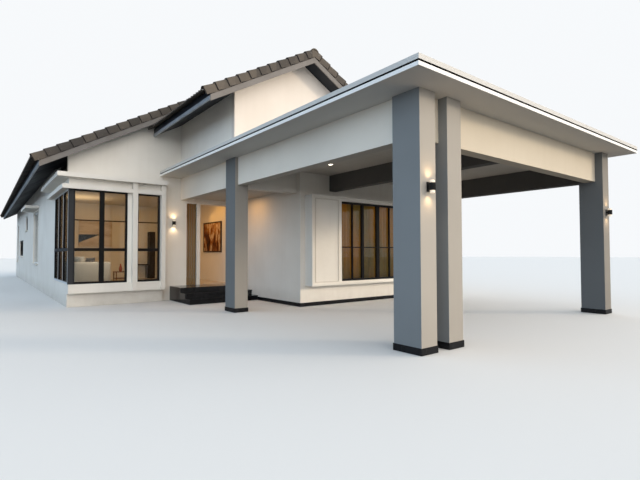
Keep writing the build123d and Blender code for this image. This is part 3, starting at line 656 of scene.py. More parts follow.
# %% Make the woven finishes
def woven(name, colour, fleck, thread, sheen=0.25, fade=None):
    """Woven cloth with threads a given number of metres apart."""
    made = Finish(name, colour, 0.9, Sheen_Weight=sheen, Sheen_Roughness=0.5)
    where = made.place()
    waves = {"Vector": where, "Scale": 0.5 / thread / 3.2}
    across, along = [
        made.node("ShaderNodeTexWave", "Fac", waves, bands_direction=way) for way in "YZ"
    ]
    weave = made.sum("MULTIPLY", across, along)
    slubs = made.levels(made.clouds(where, 60, 4, 0.7), 0.4, 0.7, 0, 0.5)
    if fade:
        faded = made.levels(made.clouds(made.place(scale=(1, 1, 0.3)), 1.6, 2), 0.42, 0.58)
        colour = made.mix(faded, colour, fade)
    tone = made.mix(slubs, colour, fleck)
    made.set("Base Color", made.mix(made.sum("MULTIPLY", weave, 0.25), tone, fleck))
    made.set("Normal", made.relief(weave, thread * 0.3, 0.5))
    return made.material


sofa_cloth = woven("sofa_weave", paint(206, 198, 186), paint(182, 172, 158), 0.004)
cushion_cloth = woven("cushion_weave", paint(96, 92, 90), paint(72, 68, 66), 0.005)
blind_cloth = woven("blind_weave", paint(226, 226, 222), paint(206, 206, 202), 0.002)
drape_cloth = woven(
    "drape_weave", paint(216, 160, 72), paint(176, 122, 50), 0.003, 0.1, paint(158, 146, 92),
)
print("cloth made")

# %% [markdown]
# ## Dress the model's own nodes
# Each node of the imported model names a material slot. One table maps the slots to
# finishes, and a short second table gives a few nodes a finish of their own.

# %% Put the finishes on the nodes
slot_finish = {
    "white_render": white_paint,
    "dark_render": shaded_beam_grey,
    "concrete": floor_tiles,
    "ceiling_board": ceiling_paint,
    "roof_boards": soffit_boards,
    "roof_tile": tile_concrete,
    "bargeboard_paint": barge_paint,
    "fascia_paint": fascia_paint,
    "black_tile": black_tile,
    "window_frame": frame_metal,
    "window_glass": window_glass,
    "lamp_metal": lamp_metal,
    "drape_cloth": drape_cloth,
    "sofa_cloth": sofa_cloth,
    "cushion_cloth": cushion_cloth,
    "canvas": picture_frame,
}
own_finish = {
    "carport_roof": slab_paint,
    "left_beam": beam_paint,
    "front_beam": front_beam_shade_and_sun,
    "upper_front_wall": shaded_gable_paint,
    "side_window_frames": side_frame_coat,
    "bay_window_frames": bay_frame_coat,
    "bay_side_frame": bay_side_coat,
    **column_paints,
}
for part in frame["record"]["subparts"]:
    node = nodes[part["node"]]
    node.data.materials.clear()
    finish = own_finish.get(node.name) or slot_finish[part["material_slot"]]
    node.data.materials.append(finish)
print("dressed", len(nodes), "nodes")

# %% [markdown]
# ## Roof tiles
# A double-roll concrete tile is a flat pan with two raised rolls. It is drawn as one
# wavy line, pulled up the slope into a strip, and given its thickness. Its nose rests
# on the tile below, so the tile is tilted a little more flatly than the roof. Copies
# then fill a course, and the whole course is copied up the slope.

# %% Model one tile and lay a slope
TILE_LINE = (
    (0, 0), (0.025, 0), (0.037, 0.017), (0.05, 0.023), (0.063, 0.017), (0.075, 0),
    (0.175, 0), (0.187, 0.017), (0.2, 0.023), (0.213, 0.017), (0.225, 0), (0.298, 0),
)
NOSE_LIFT = 0.052
HEAD_LIFT = 0.020
TILE_LAP = 0.075
TILE_THICK = 0.014
OVERHANG = 0.18
RIDGE_GAP = 0.02
EXPOSURE = TILE_RUN / math.cos(PITCH)


def slope_matrix(side, reach, deck, y):
    """From a slope's own axes (along the eave, up the slope, out of it) to the house's."""
    up = Vector((-side * math.cos(PITCH), 0, math.sin(PITCH)))
    out = Vector((side * math.sin(PITCH), 0, math.cos(PITCH)))
    along = up.cross(out)
    turn = Matrix((along, up, out)).transposed().to_4x4()
    eave = Vector((ridge_x + side * reach, y, deck - math.tan(PITCH) * reach))
    return Matrix.Translation(eave) @ turn


def one_tile(bm):
    """Adds a tile with its nose at 0 up the slope."""
    nose = [(across, 0, lift + NOSE_LIFT) for across, lift in TILE_LINE]
    pull_strip(bm, nose, (0, EXPOSURE + TILE_LAP, HEAD_LIFT - NOSE_LIFT))
    bmesh.ops.recalc_face_normals(bm, faces=bm.faces)
    bmesh.ops.solidify(bm, geom=bm.faces[:], thickness=TILE_THICK)


def tile_slope(side, reach, deck, y_start, y_end):
    """Lays tiles over a slope between two places along the ridge."""
    courses = math.ceil((reach + OVERHANG) / TILE_RUN)
    columns = round(abs(y_end - y_start) / TILE_WIDTH)
    width = abs(y_end - y_start) / columns
    bm = bmesh.new()
    one_tile(bm)
    bmesh.ops.scale(bm, verts=bm.verts, vec=(width / TILE_WIDTH, 1, 1))
    repeat(bm, (width, 0, 0), columns - 1)
    repeat(bm, (0, EXPOSURE, 0), courses - 1)
    bmesh.ops.translate(bm, verts=bm.verts, vec=(0, -OVERHANG / math.cos(PITCH), 0))
    start = max(y_start, y_end) if side < 0 else min(y_start, y_end)
    bmesh.ops.transform(bm, matrix=slope_matrix(side, reach, deck, start), verts=bm.verts)
    cut_beyond(bm, (ridge_x + side * RIDGE_GAP, 0, 0), (-side, 0, 0))
    return bm


print("a tile shows", round(EXPOSURE, 3), "m up the slope")


# %% [markdown]
# ## Tiles on the four slopes
# The two roofs have two slopes each. The front roof's right slope meets the flat slab,
# so its tiles are left out where the slab is above them. Tiles start beside the verge
# tiles, which cover the first hand's width of each slope.

# %% Lay the four slopes
VERGE_COVER = 0.15
BOARD = 0.03
SLOPE_DEPTH = 0.275
left_reach = ridge_x - main_low.x
right_reach = right_high.x - ridge_x
porch_reach = ridge_x - front_low.x
main_front, main_back = main_low.y - BOARD + VERGE_COVER, main_high.y + BOARD - VERGE_COVER
front_front, front_back = front_low.y - BOARD + VERGE_COVER, front_high.y
slab_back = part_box("upper_front_wall")[1].y + 0.02
slab_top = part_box("carport_roof")[1].z
notch_reach = (front_deck - SLOPE_DEPTH - slab_top - 0.02) / math.tan(PITCH)

slopes = {
    "main_tiles_left": (-1, left_reach, main_deck, main_front, main_back),
    "main_tiles_right": (1, right_reach, main_deck, main_front, main_back),
    "front_tiles_left": (-1, porch_reach, front_deck, front_front, front_back),
    "front_tiles_right": (1, right_reach, front_deck, front_front, front_back),
}
for name, values in slopes.items():
    bm = tile_slope(*values)
    if name == "front_tiles_right":
        middles = [(face, face.calc_center_median()) for face in bm.faces]
        over_slab = [
            face for face, middle in middles
            if middle.x > ridge_x + notch_reach and middle.y < slab_back
        ]
        bmesh.ops.delete(bm, geom=over_slab, context="FACES")
    tiles = new_piece(name, bm, tile_concrete, recalc=False)
    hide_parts("roof_tiles")

# %% [markdown]
# ## Verge tiles
# Along each rake a special tile turns down over the bargeboard. Its section is a
# short roll on top and a deep drop face. The lower end is a little wider than the
# head of the tile below, so the row steps, and each joint throws a thin shadow.

# %% Model the verge rows
VERGE_LINE = (
    (-0.165, 0.046), (-0.12, 0.046), (-0.085, 0.074), (-0.04, 0.084), (-0.008, 0.076),
    (0.004, 0.055), (0.008, -0.02), (0.008, -0.118),
)
VERGE_THICK = 0.014
VERGE_STEP = 0.026
VERGE_LAP = 0.03
JOINT = 0.022


def verge_row(bm, side, reach, deck, y, faces_front, lowest):
    """Adds the verge tiles of one rake, from the lowest course that shows to the ridge."""
    outward = 1 if (side < 0) == faces_front else -1
    row = bmesh.new()
    section = [(outward * across, 0, lift) for across, lift in VERGE_LINE]
    noses = pull_strip(row, section, (0, EXPOSURE + VERGE_LAP, 0))
    bmesh.ops.translate(row, verts=noses, vec=(outward * 0.6 * VERGE_STEP, 0, VERGE_STEP))
    bmesh.ops.bisect_plane(
        row, geom=everything(row), dist=0.0001, plane_co=(0, JOINT, 0), plane_no=(0, 1, 0),
    )
    # Painted shadow: faces within JOINT of each nose take the dark joint colour.
    for face in row.faces:
        face.material_index = 1 if face.calc_center_median().y < JOINT else 0
    bmesh.ops.recalc_face_normals(row, faces=row.faces)
    bmesh.ops.solidify(row, geom=row.faces[:], thickness=VERGE_THICK)
    bmesh.ops.recalc_face_normals(row, faces=row.faces)
    courses = math.ceil((reach + OVERHANG) / TILE_RUN) - lowest
    repeat(row, (0, EXPOSURE, 0), courses - 1)
    start = EXPOSURE * lowest - OVERHANG / math.cos(PITCH)
    bmesh.ops.translate(row, verts=row.verts, vec=(0, start, 0))
    bmesh.ops.transform(row, matrix=slope_matrix(side, reach, deck, y), verts=row.verts)
    cut_beyond(row, (ridge_x, 0, 0), (-side, 0, 0))
    pour(row, bm)


print("verge section of", len(VERGE_LINE), "points")

# %% [markdown]
# ## Verge rows
# Every rake gets its row: the front roof's two, and the main roof's four, front and
# rear. On the front roof's right rake the row starts above the slab. The faces nearest
# each joint are painted dark, a painted shadow under the lap.

# %% Lay the verge rows on every rake
front_rake, main_rake, rear_rake = front_low.y - BOARD, main_low.y - BOARD, main_high.y + BOARD
bm = bmesh.new()
verge_row(bm, -1, porch_reach, front_deck, front_rake, True, 0)
over_slab_courses = math.ceil((right_reach + OVERHANG - notch_reach) / TILE_RUN)
verge_row(bm, 1, right_reach, front_deck, front_rake, True, over_slab_courses)
for rake, faces_front in ((main_rake, True), (rear_rake, False)):
    verge_row(bm, -1, left_reach, main_deck, rake, faces_front, 0)
    verge_row(bm, 1, right_reach, main_deck, rake, faces_front, 0)
verge = new_piece("verge_tile_rows", bm, tile_concrete, recalc=False)
# The dark joint colour is painted shadow at each verge joint.
joint_shadow = coated_metal("verge_joint_painted_shadow", paint(40, 37, 36), 0.9)
verge.data.materials.append(joint_shadow)
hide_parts("verge_tiles")

# %% [markdown]
# ## Ridge tiles
# Half-round ridge tiles sit on a bed of mortar, each with a raised collar that covers
# the end of the next. One tile is a thin section spun through half a turn about the
# ridge line, and the row is made of copies.

# %% Model the ridge rows and their mortar
RIDGE_RADIUS = 0.14
RIDGE_LENGTH = 0.4


def ridge_row(bm, mortar, deck, front, back):
    """Adds ridge tiles between two places along the ridge, and their bed."""
    centre_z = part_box("ridge_tiles")[1].z - RIDGE_RADIUS - (main_deck - deck)
    centre = Vector((ridge_x, 0, centre_z))
    count = round((back - front) / RIDGE_LENGTH)
    length = (back - front) / count
    section = (
        (RIDGE_RADIUS - 0.016, 0), (RIDGE_RADIUS, 0.004), (RIDGE_RADIUS, 0.045),
        (RIDGE_RADIUS - 0.012, 0.055), (RIDGE_RADIUS - 0.014, length + 0.02),
        (RIDGE_RADIUS - 0.03, length + 0.02), (RIDGE_RADIUS - 0.03, 0),
    )
    row = bmesh.new()
    verts = [row.verts.new(centre + Vector((r, y, 0))) for r, y in section]
    face = row.faces.new(verts)
    bmesh.ops.spin(
        row, geom=[face] + list(face.edges) + verts, cent=centre, axis=(0, 1, 0),
        angle=-math.pi, steps=14, use_duplicate=False, use_normal_flip=False, dvec=(0, 0, 0),
    )
    bmesh.ops.remove_doubles(row, verts=row.verts, dist=0.0001)
    bmesh.ops.recalc_face_normals(row, faces=row.faces)
    repeat(row, (0, length, 0), count - 1)
    bmesh.ops.translate(row, verts=row.verts, vec=(0, front, 0))
    pour(row, bm)
    fall = math.tan(PITCH)
    half = RIDGE_RADIUS + 0.012
    for side in (-1, 1):
        line = [
            mortar.verts.new((ridge_x + side * half, front, deck + 0.03 - fall * half)),
            mortar.verts.new((ridge_x + side * half, front, centre_z + 0.002)),
            mortar.verts.new((ridge_x + side * (half - 0.03), front, centre_z + 0.022)),
            mortar.verts.new((ridge_x + side * (half - 0.06), front, deck - fall * half)),
        ]
        pull_faces(mortar, [mortar.faces.new(line)], (0, back - front, 0))


bm, mortar = bmesh.new(), bmesh.new()
ridge_row(bm, mortar, front_deck, front_rake - 0.02, main_rake)
ridge_row(bm, mortar, main_deck, main_rake - 0.02, rear_rake + 0.02)
ridge = new_piece("ridge_tile_rows", bm, tile_concrete, recalc=False)
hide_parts("ridge_tiles")
mortar_mix = wall_paint("mortar", paint(118, 113, 108), paint(98, 93, 89), paint(90, 86, 82))
new_piece("ridge_mortar", mortar, mortar_mix)

# %% [markdown]
# ## Eave trims
# Each eave has a dark board with a paler strip along its lower edge. The strip's pale
# colour is a painted highlight of the sky on the board's edge, and draws a light line under
# the tiles. A strip bevelled on its long edges is enough, because nobody sees it from
# nearer than the ground.

# %% Fix a trim along each eave board
TRIM_HEIGHT = 0.08
TRIM_THICK = 0.012
BOARD_HEIGHT = 0.23

bm = bmesh.new()
eaves = (
    (-1, left_reach, main_deck, main_low.y, main_high.y),
    (-1, porch_reach, front_deck, front_low.y, front_high.y),
    (1, right_reach, main_deck, main_low.y, main_high.y),
    (1, right_reach, front_deck, slab_back, front_high.y),
)
for side, reach, deck, y_start, y_end in eaves:
    face = ridge_x + side * (reach + BOARD)
    foot = deck - math.tan(PITCH) * (reach + BOARD) - BOARD_HEIGHT
    near, far = sorted((face - side * BOARD, face + side * TRIM_THICK))
    add_box(bm, (near, y_start, foot - 0.006), (far, y_end, foot + TRIM_HEIGHT))
soften(bm, 0.003, 1)
new_piece("eave_trims", bm, painted_highlight_trim)

# %% [markdown]
# ## Black skirtings
# A strip of the step tile runs along the foot of the right block and round the foot of
# each column, so that splashed rain doesn't mark the paint. It stands a finger's width
# proud of the wall. The wall's strip is one outline pulled upwards, so that it turns
# the corner without a gap.

# %% Tile the foot of the walls and columns
SKIRTING = 0.012
SKIRTING_HEIGHT = 0.1


def raise_plan(bm, plan, bottom, top):
    """Adds a flat outline and pulls it upwards."""
    face = bm.faces.new([bm.verts.new((x, y, bottom)) for x, y in plan])
    pull_faces(bm, [face], (0, 0, top - bottom))


bm = bmesh.new()
block_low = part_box("right_front_wall")[0]
block_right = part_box("right_side_wall")[1].x
step_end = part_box("lower_step")[0].y
raise_plan(bm, (
    (block_low.x - SKIRTING, step_end),
    (block_low.x - SKIRTING, block_low.y - SKIRTING),
    (block_right + SKIRTING, block_low.y - SKIRTING),
    (block_right + SKIRTING, block_low.y),
    (block_low.x, block_low.y),
    (block_low.x, step_end),
), 0, SKIRTING_HEIGHT)
for name in column_shares:
    low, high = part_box(name)
    add_box(bm, (low.x - SKIRTING, low.y - SKIRTING, 0),
            (high.x + SKIRTING, high.y + SKIRTING, SKIRTING_HEIGHT))
soften(bm, 0.003, 1)
new_piece("black_skirtings", bm, black_tile)

# %% [markdown]
# ## Moulding beside the window
# The panel left of the right block's window has a slim raised frame of render. A flat
# face is inset, its middle is taken out, and the ring that is left is pulled forward.

# %% Raise the moulding
MOULDING, MOULDING_RISE = 0.024, 0.014
PANEL_RECESS = 0.04


def raised_frame(bm, left, right, bottom, top, y, width, rise):
    """Adds a raised frame on a wall that faces the drive."""
    corners = ((left, bottom), (right, bottom), (right, top), (left, top))
    face = bm.faces.new([bm.verts.new((x, y, z)) for x, z in corners])
    bm.normal_update()
    bmesh.ops.inset_region(
        bm, faces=[face], thickness=width, use_even_offset=True, use_boundary=True,
    )
    bmesh.ops.delete(bm, geom=[face], context="FACES")
    pull_faces(bm, bm.faces[:], (0, -rise, 0))


surround_low, surround_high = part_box("window_surround")
window_low, window_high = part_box("right_window_glass")
bm = bmesh.new()
raised_frame(
    bm, surround_low.x + 0.12, window_low.x - 0.11, surround_low.z + 0.09,
    surround_high.z - 0.09, surround_low.y + PANEL_RECESS, MOULDING, MOULDING_RISE,
)
new_piece("panel_moulding", bm, moulding_painted_shade)

# %% [markdown]
# ## Wall lamps
# Each lamp is a short black housing with a frosted glass at both ends, so it throws
# one fan of warm light up the wall and one down. The round parts are outlines spun
# about the lamp's middle line. The glass gives its own light, and a spot lamp at each
# end makes the fans.

# %% Model the three wall lamps
LAMP_Z = sum(corner.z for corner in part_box("wall_lamps")) / 2
LAMP_OUT = 0.073
HOUSING = (
    (0, -0.052), (0.044, -0.052), (0.048, -0.048), (0.048, 0.048), (0.044, 0.052), (0, 0.052),
)
FROSTED = (
    (0, 0.052), (0.031, 0.052), (0.034, 0.056), (0.034, 0.084), (0.029, 0.091), (0, 0.092),
)
lamp_wall_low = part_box("lamp_wall")[0]
lamp_feet = [(lamp_wall_low.x + 0.345, lamp_wall_low.y)]
for name in ("front_left_column", "front_right_column"):
    low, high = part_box(name)
    lamp_feet.append(((low.x + high.x) / 2, low.y))

bodies, glasses = bmesh.new(), bmesh.new()
for x, face in lamp_feet:
    add_box(bodies, (x - 0.034, face - 0.009, LAMP_Z - 0.07), (x + 0.034, face, LAMP_Z + 0.07))
    add_box(bodies, (x - 0.013, face - LAMP_OUT + 0.03, LAMP_Z - 0.016),
            (x + 0.013, face - 0.004, LAMP_Z + 0.016))
soften(bodies, 0.003)
for x, face in lamp_feet:
    centre = Vector((x, face - LAMP_OUT, LAMP_Z))
    lathe(bodies, HOUSING, centre)
    lathe(glasses, FROSTED, centre)
    lathe(glasses, [(r, -z) for r, z in reversed(FROSTED)], centre)
lamp_bodies = new_piece("wall_lamp_bodies", bodies, lamp_metal)
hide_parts("wall_lamps")
new_piece("wall_lamp_glasses", glasses, lamp_glow)

# %% [markdown]
# ## Ceiling light
# One round light shines in the carport's ceiling: a shallow white ring with a bright
# domed face inside it.

# %% Model the ceiling light
LIGHT_PLACE = Vector((-0.238, -10.652, 3.53))
RING = (
    (0.052, -0.001), (0.052, -0.005), (0.057, -0.011),
    (0.066, -0.010), (0.071, -0.004), (0.071, 0.0),
)
DOME = ((0, -0.014), (0.026, -0.012), (0.052, -0.005), (0.052, -0.002), (0, -0.002))
ring_white = coated_metal("ring_white", paint(228, 226, 222), 0.4)
light_parts = (
    ("ceiling_light_ring", RING, ring_white, "ceiling_board"),
    ("ceiling_light_face", DOME, ceiling_glow, "window_glass"),
)
for name, outline, finish, slot in light_parts:
    bm = bmesh.new()
    lathe(bm, outline, LIGHT_PLACE)
    new_piece(name, bm, finish)

# %% [markdown]
# ## Drapes
# Two drapes hang in soft pleats behind the right block's window. Each is a flat grid
# whose columns are pushed to and fro in waves: shallow at the heading, where the
# pleats are sewn, and deeper at the hem, where they swing free. The waves are given a
# little drift so that no two pleats match.

# %% Hang the two drapes
PLEAT_WIDTH = 0.125
DRAPE_GAP = 0.005


def pleated(name, left, right, middle_y, bottom, top, seed):
    chance = random.Random(seed)
    width, drop = right - left, top - bottom
    pleats = round(width / PLEAT_WIDTH)
    drift = [chance.uniform(-0.5, 0.5) for _ in range(pleats + 2)]
    bm = bmesh.new()
    bmesh.ops.create_grid(bm, x_segments=pleats * 12, y_segments=14, size=0.5)
    for vert in bm.verts:
        u, v = vert.co.x + 0.5, vert.co.y + 0.5
        place = u * pleats
        nearby = drift[int(place)] * (1 - place % 1) + drift[int(place) + 1] * (place % 1)
        phase = 2 * math.pi * place + nearby * (1.2 - v)
        depth = 0.028 + 0.012 * (1 - v) ** 0.7
        fold = math.sin(phase) + 0.18 * math.sin(2 * phase + nearby)
        vert.co = (
            left + u * width + 0.006 * math.sin(2 * phase) * (1 - v),
            middle_y + depth * fold,
            bottom + v * drop,
        )
    area = sum(face.calc_area() for face in bm.faces)
    drape = new_piece(name, bm, drape_cloth, smooth=180)
    print(name, "cloth width", round(area / drop, 2), "drop", round(drop, 2))
    return drape


drape_low, drape_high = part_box("window_drapes")
drape_y = (drape_low.y + drape_high.y) / 2
drape_middle = (drape_low.x + drape_high.x) / 2
drapes = (
    ("left_drape", drape_low.x, drape_middle - DRAPE_GAP, 3),
    ("right_drape", drape_middle + DRAPE_GAP, drape_high.x, 8),
)
for name, left, right, seed in drapes:
    drape = pleated(name, left, right, drape_y, drape_low.z, drape_high.z, seed)
    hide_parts("window_drapes")

# %% [markdown]
# ## Stuffed cushions
# A cushion is a closed bag that its filling pushes out. The bag starts thinner at its
# edges than in the middle, gets an even skin, and is then blown up a little as cloth,
# so it crowns between its corners and its sides pull in. Each size is blown up once
# and its copies are placed by turning and moving them.

# %% Blow up one bag
BLOW_FRAMES = 20


def stuffed(size, skin, most, thin_edge):
    """A stuffed bag of the given size about the middle, as a mesh."""
    bm = bmesh.new()
    bmesh.ops.create_cube(bm, size=2)
    bmesh.ops.subdivide_edges(bm, edges=bm.edges[:], cuts=9, use_grid_fill=True)
    for vert in bm.verts:
        u, v, w = vert.co
        rim = max(abs(u), abs(v)) ** 5
        inward = 1 - 0.05 * (1 - min(abs(u), abs(v)) ** 2) * rim
        vert.co = (
            u * inward * (size[0] / 2 - most / 3),
            v * inward * (size[1] / 2 - most / 3),
            w * (1 - thin_edge * rim) * (size[2] / 2 - most / 2),
        )
    mesh = bpy.data.meshes.new("bag")
    bm.to_mesh(mesh)
    bm.free()
    bag = bpy.data.objects.new("bag", mesh)
    bpy.context.scene.collection.objects.link(bag)
    even = bag.modifiers.new("even", "REMESH")
    even.mode = "VOXEL"
    even.voxel_size = skin
    graph = bpy.context.evaluated_depsgraph_get()
    bag_mesh = bpy.data.meshes.new_from_object(bag.evaluated_get(graph))
    bag.modifiers.remove(even)
    bag.data = bag_mesh
    start = [vert.co.copy() for vert in bag_mesh.vertices]
    cloth = bag.modifiers.new("filling", "CLOTH")
    cloth.settings.use_pressure = True
    cloth.settings.uniform_pressure_force = 4
    cloth.settings.effector_weights.gravity = 0
    cloth.point_cache.frame_start = 1
    cloth.point_cache.frame_end = BLOW_FRAMES
    for step in range(1, BLOW_FRAMES + 1):
        bpy.context.scene.frame_set(step)
    graph = bpy.context.evaluated_depsgraph_get()
    blown = bpy.data.meshes.new_from_object(bag.evaluated_get(graph))
    for vert, before in zip(blown.vertices, start):
        move = vert.co - before
        if move.length > most:
            vert.co = before + move.normalized() * most
    bpy.context.scene.frame_set(1)
    bag_mesh = blown
    bpy.data.objects.remove(bag)
    print("bag of", len(bag_mesh.vertices), "points")
    return bag_mesh


# %% Place copies of a bag
def place_bags(name, bag_mesh, places, finish, node):
    """Copies a stuffed bag to its places as one piece that stands for a node."""
    bm = bmesh.new()
    for place in places:
        start = len(bm.verts)
        bm.from_mesh(bag_mesh)
        bm.verts.ensure_lookup_table()
        bmesh.ops.transform(bm, matrix=place, verts=bm.verts[start:])
    bmesh.ops.smooth_vert(
        bm, verts=bm.verts, factor=0.5, use_axis_x=True, use_axis_y=True, use_axis_z=True,
    )
    piece = new_piece(name, bm, finish, smooth=180)
    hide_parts(node)


print("cushion helpers ready")

# %% [markdown]
# ## Sofa
# The sofa stands along the left wall with one end towards the bay window. Its arms,
# back and base are padded boards with rounded edges, so they are boxes with wide
# bevels, crowned a little.

# %% Build the sofa's padded frame
def padded_board(bm, low, high, radius=0.035, crown=0.008):
    """Adds an upholstered board: a box with round edges and slightly swollen sides."""
    board = bmesh.new()
    bmesh.ops.create_cube(board, size=2)
    bmesh.ops.subdivide_edges(board, edges=board.edges[:], cuts=5, use_grid_fill=True)
    half = (Vector(high) - Vector(low)) / 2
    middle = (Vector(high) + Vector(low)) / 2
    for vert in board.verts:
        u, v, w = vert.co
        swell = Vector((
            math.copysign(crown, u) * (abs(u) > 0.999) * (1 - v * v) * (1 - w * w),
            math.copysign(crown, v) * (abs(v) > 0.999) * (1 - u * u) * (1 - w * w),
            math.copysign(crown, w) * (abs(w) > 0.999) * (1 - u * u) * (1 - v * v),
        ))
        inner = Vector((u * (half.x - crown), v * (half.y - crown), w * (half.z - crown)))
        vert.co = middle + inner + swell
    rims = [e for e in board.edges if e.calc_face_angle() > math.radians(60)]
    bmesh.ops.bevel(
        board, geom=rims, offset=radius, segments=3, profile=0.5, affect="EDGES",
        clamp_overlap=True, material=-1,
    )
    pour(board, bm)


sofa_low, sofa_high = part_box("sofa")
floor_z = sofa_low.z
arm_top, arm_wide = floor_z + 0.745, 0.18
seat_top, base_foot = floor_z + 0.43, floor_z + 0.06
bm = bmesh.new()
padded_board(bm, (sofa_low.x, sofa_low.y + arm_wide, base_foot),
             (sofa_high.x - 0.02, sofa_high.y - arm_wide, seat_top - 0.20))
padded_board(bm, (sofa_low.x, sofa_low.y + arm_wide, seat_top - 0.22),
             (sofa_low.x + 0.12, sofa_high.y - arm_wide, arm_top))
for y in (sofa_low.y, sofa_high.y - arm_wide):
    padded_board(bm, (sofa_low.x, y, base_foot), (sofa_high.x, y + arm_wide, arm_top), 0.03)
sofa_frame = new_piece("sofa_frame", bm, sofa_cloth, smooth=60)
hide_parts("sofa")

# %% [markdown]
# ## The sofa's feet
# Four short turned feet of dark wood carry the sofa. Each is one outline spun about its
# middle, wider at the top than at the floor.

# %% Turn the sofa's feet
FOOT = ((0, 0), (0.016, 0), (0.019, 0.004), (0.028, 0.058), (0.028, 0.066), (0, 0.066))
FOOT_INSET = 0.08
bm = bmesh.new()
for x in (sofa_low.x + FOOT_INSET, sofa_high.x - FOOT_INSET):
    for y in (sofa_low.y + FOOT_INSET, sofa_high.y - FOOT_INSET):
        lathe(bm, FOOT, Vector((x, y, floor_z)), 20)
new_piece("sofa_feet", bm, dark_wood)

# %% [markdown]
# ## The sofa's cushions
# Two seat cushions fill the space between the arms, two back cushions lean on the back,
# and two loose ones stand in the corners. Each pair is one bag, copied.

# %% Place the seat, back and loose cushions
seat_length = (sofa_high.y - sofa_low.y - 2 * arm_wide) / 2
seat_depth = sofa_high.x - sofa_low.x - 0.12
seat_bag = stuffed((seat_depth, seat_length - 0.012, 0.21), 0.016, 0.022, 0.25)
seat_x = sofa_high.x - seat_depth / 2
seat_middles = [sofa_low.y + arm_wide + seat_length * (n + 0.5) for n in (0, 1)]
seats = [Matrix.Translation((seat_x, y, seat_top - 0.105)) for y in seat_middles]
place_bags("sofa_seat_cushions", seat_bag, seats, sofa_cloth, "sofa")

back_bag = stuffed((0.50, seat_length - 0.03, 0.19), 0.014, 0.026, 0.55)
lean = Matrix.Rotation(math.radians(-80), 4, "Y")
backs = [
    Matrix.Translation((sofa_low.x + 0.215, y, seat_top + 0.245)) @ lean for y in seat_middles
]
place_bags("sofa_back_cushions", back_bag, backs, sofa_cloth, "sofa")

loose_low, loose_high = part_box("sofa_cushions")
loose_size = loose_high.z - loose_low.z
loose_bag = stuffed((loose_size, loose_size, 0.15), 0.011, 0.022, 0.72)
lean = Matrix.Rotation(math.radians(-74), 4, "Y")
corner_turn = Matrix.Rotation(math.radians(32), 4, "Z")
middle_z = loose_low.z + loose_size / 2 - 0.012
near_place = Matrix.Translation((loose_low.x + 0.15, loose_low.y + loose_size / 2, middle_z))
far_place = Matrix.Translation((loose_low.x + 0.10, loose_high.y - loose_size / 2, middle_z))
loose = [near_place @ corner_turn @ lean, far_place @ lean]
place_bags(
    "loose_cushions", loose_bag, loose, cushion_cloth, "sofa_cushions",
)

# %% [markdown]
# ## Pictures
# The foyer's picture hangs in its frame on the right wall: a generic abstract canvas
# of upright strokes in amber, brown and cream. A canvas is a thin board with softened
# edges. Noise stretched along the strokes and a row of colours paint it.

# %% Paint and hang the foyer's canvas
def brush_canvas(name, stretch, stops):
    """Broad strokes along one direction, in a row of colours."""
    made = Finish(name, stops[0][1], 0.6)
    strokes = made.clouds(made.place(scale=stretch), 1.0, 4, 0.6)
    ramp = made.tree.nodes.new("ShaderNodeValToRGB")
    for extra in stops[1:-1]:
        ramp.color_ramp.elements.new(extra[0])
    for element, (place, colour) in zip(ramp.color_ramp.elements, stops):
        element.position = place
        element.color = colour
    made.tree.links.new(strokes, ramp.inputs[0])
    made.set("Base Color", ramp.outputs[0])
    made.set("Specular IOR Level", 0.1)
    made.grain(320, 0.001, 0.5, 3)
    return made


def hang(name, low, high, finish):
    """Hangs one thin canvas between two corners."""
    bm = bmesh.new()
    add_box(bm, low, high)
    soften(bm, 0.003)
    new_piece(name, bm, finish)


PICTURE_RIM = 0.045
amber = brush_canvas("amber_canvas", (1, 3.4, 1.3), (
    (0.32, paint(28, 20, 18)), (0.42, paint(92, 54, 30)), (0.50, paint(160, 100, 48)),
    (0.56, paint(214, 190, 150)), (0.62, paint(140, 80, 34)), (0.72, paint(44, 30, 24)),
)).material
frame_low, frame_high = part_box("foyer_picture")
hang("foyer_canvas", (frame_low.x + 0.006, frame_low.y + PICTURE_RIM, frame_low.z + PICTURE_RIM),
     (frame_low.x + 0.022, frame_high.y - PICTURE_RIM, frame_high.z - PICTURE_RIM), amber)

# %% [markdown]
# ## The second canvas
# A paler canvas hangs on the far wall, with one dark wedge that starts at its left edge.
# The wedge lies between two slanting lines. One mask keeps what is under the upper line
# and one what is over the lower, and the two are multiplied.

# %% Paint the wedge and hang the second canvas
CANVAS_LEFT, CANVAS_RIGHT = -4.04, -2.92
WEDGE_POINT = (-3.35, 2.03)
pale = brush_canvas("pale_canvas", (0.9, 1, 3.0), (
    (0.30, paint(196, 176, 148)), (0.5, paint(222, 206, 180)), (0.72, paint(176, 156, 130)),
))
where = pale.place()
rise = pale.sum("MULTIPLY", pale.sum("ADD", pale.axis(where, "X"), 3.9), 0.10)
slope_line = pale.sum("SUBTRACT", pale.axis(where, "Z"), rise)
wedge_top = pale.levels(pale.axis(where, "X"), CANVAS_LEFT, -3.0, 2.12, WEDGE_POINT[1])
under_top = pale.levels(pale.sum("SUBTRACT", wedge_top, slope_line), 0.0, 0.012)
wedge_foot = pale.levels(pale.axis(where, "X"), CANVAS_LEFT, WEDGE_POINT[0], 1.80, WEDGE_POINT[1])
over_foot = pale.levels(pale.sum("SUBTRACT", slope_line, wedge_foot), 0.0, 0.03)
wedge = pale.sum("MULTIPLY", under_top, over_foot)
canvas_tone = pale.shader.inputs["Base Color"].links[0].from_socket
pale.set("Base Color", pale.mix(wedge, canvas_tone, paint(14, 12, 11)))
far_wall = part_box("inner_walls")[1].y - 0.15
hang("far_canvas", (CANVAS_LEFT, far_wall - 0.03, 1.65), (CANVAS_RIGHT, far_wall, 2.62),
     pale.material)

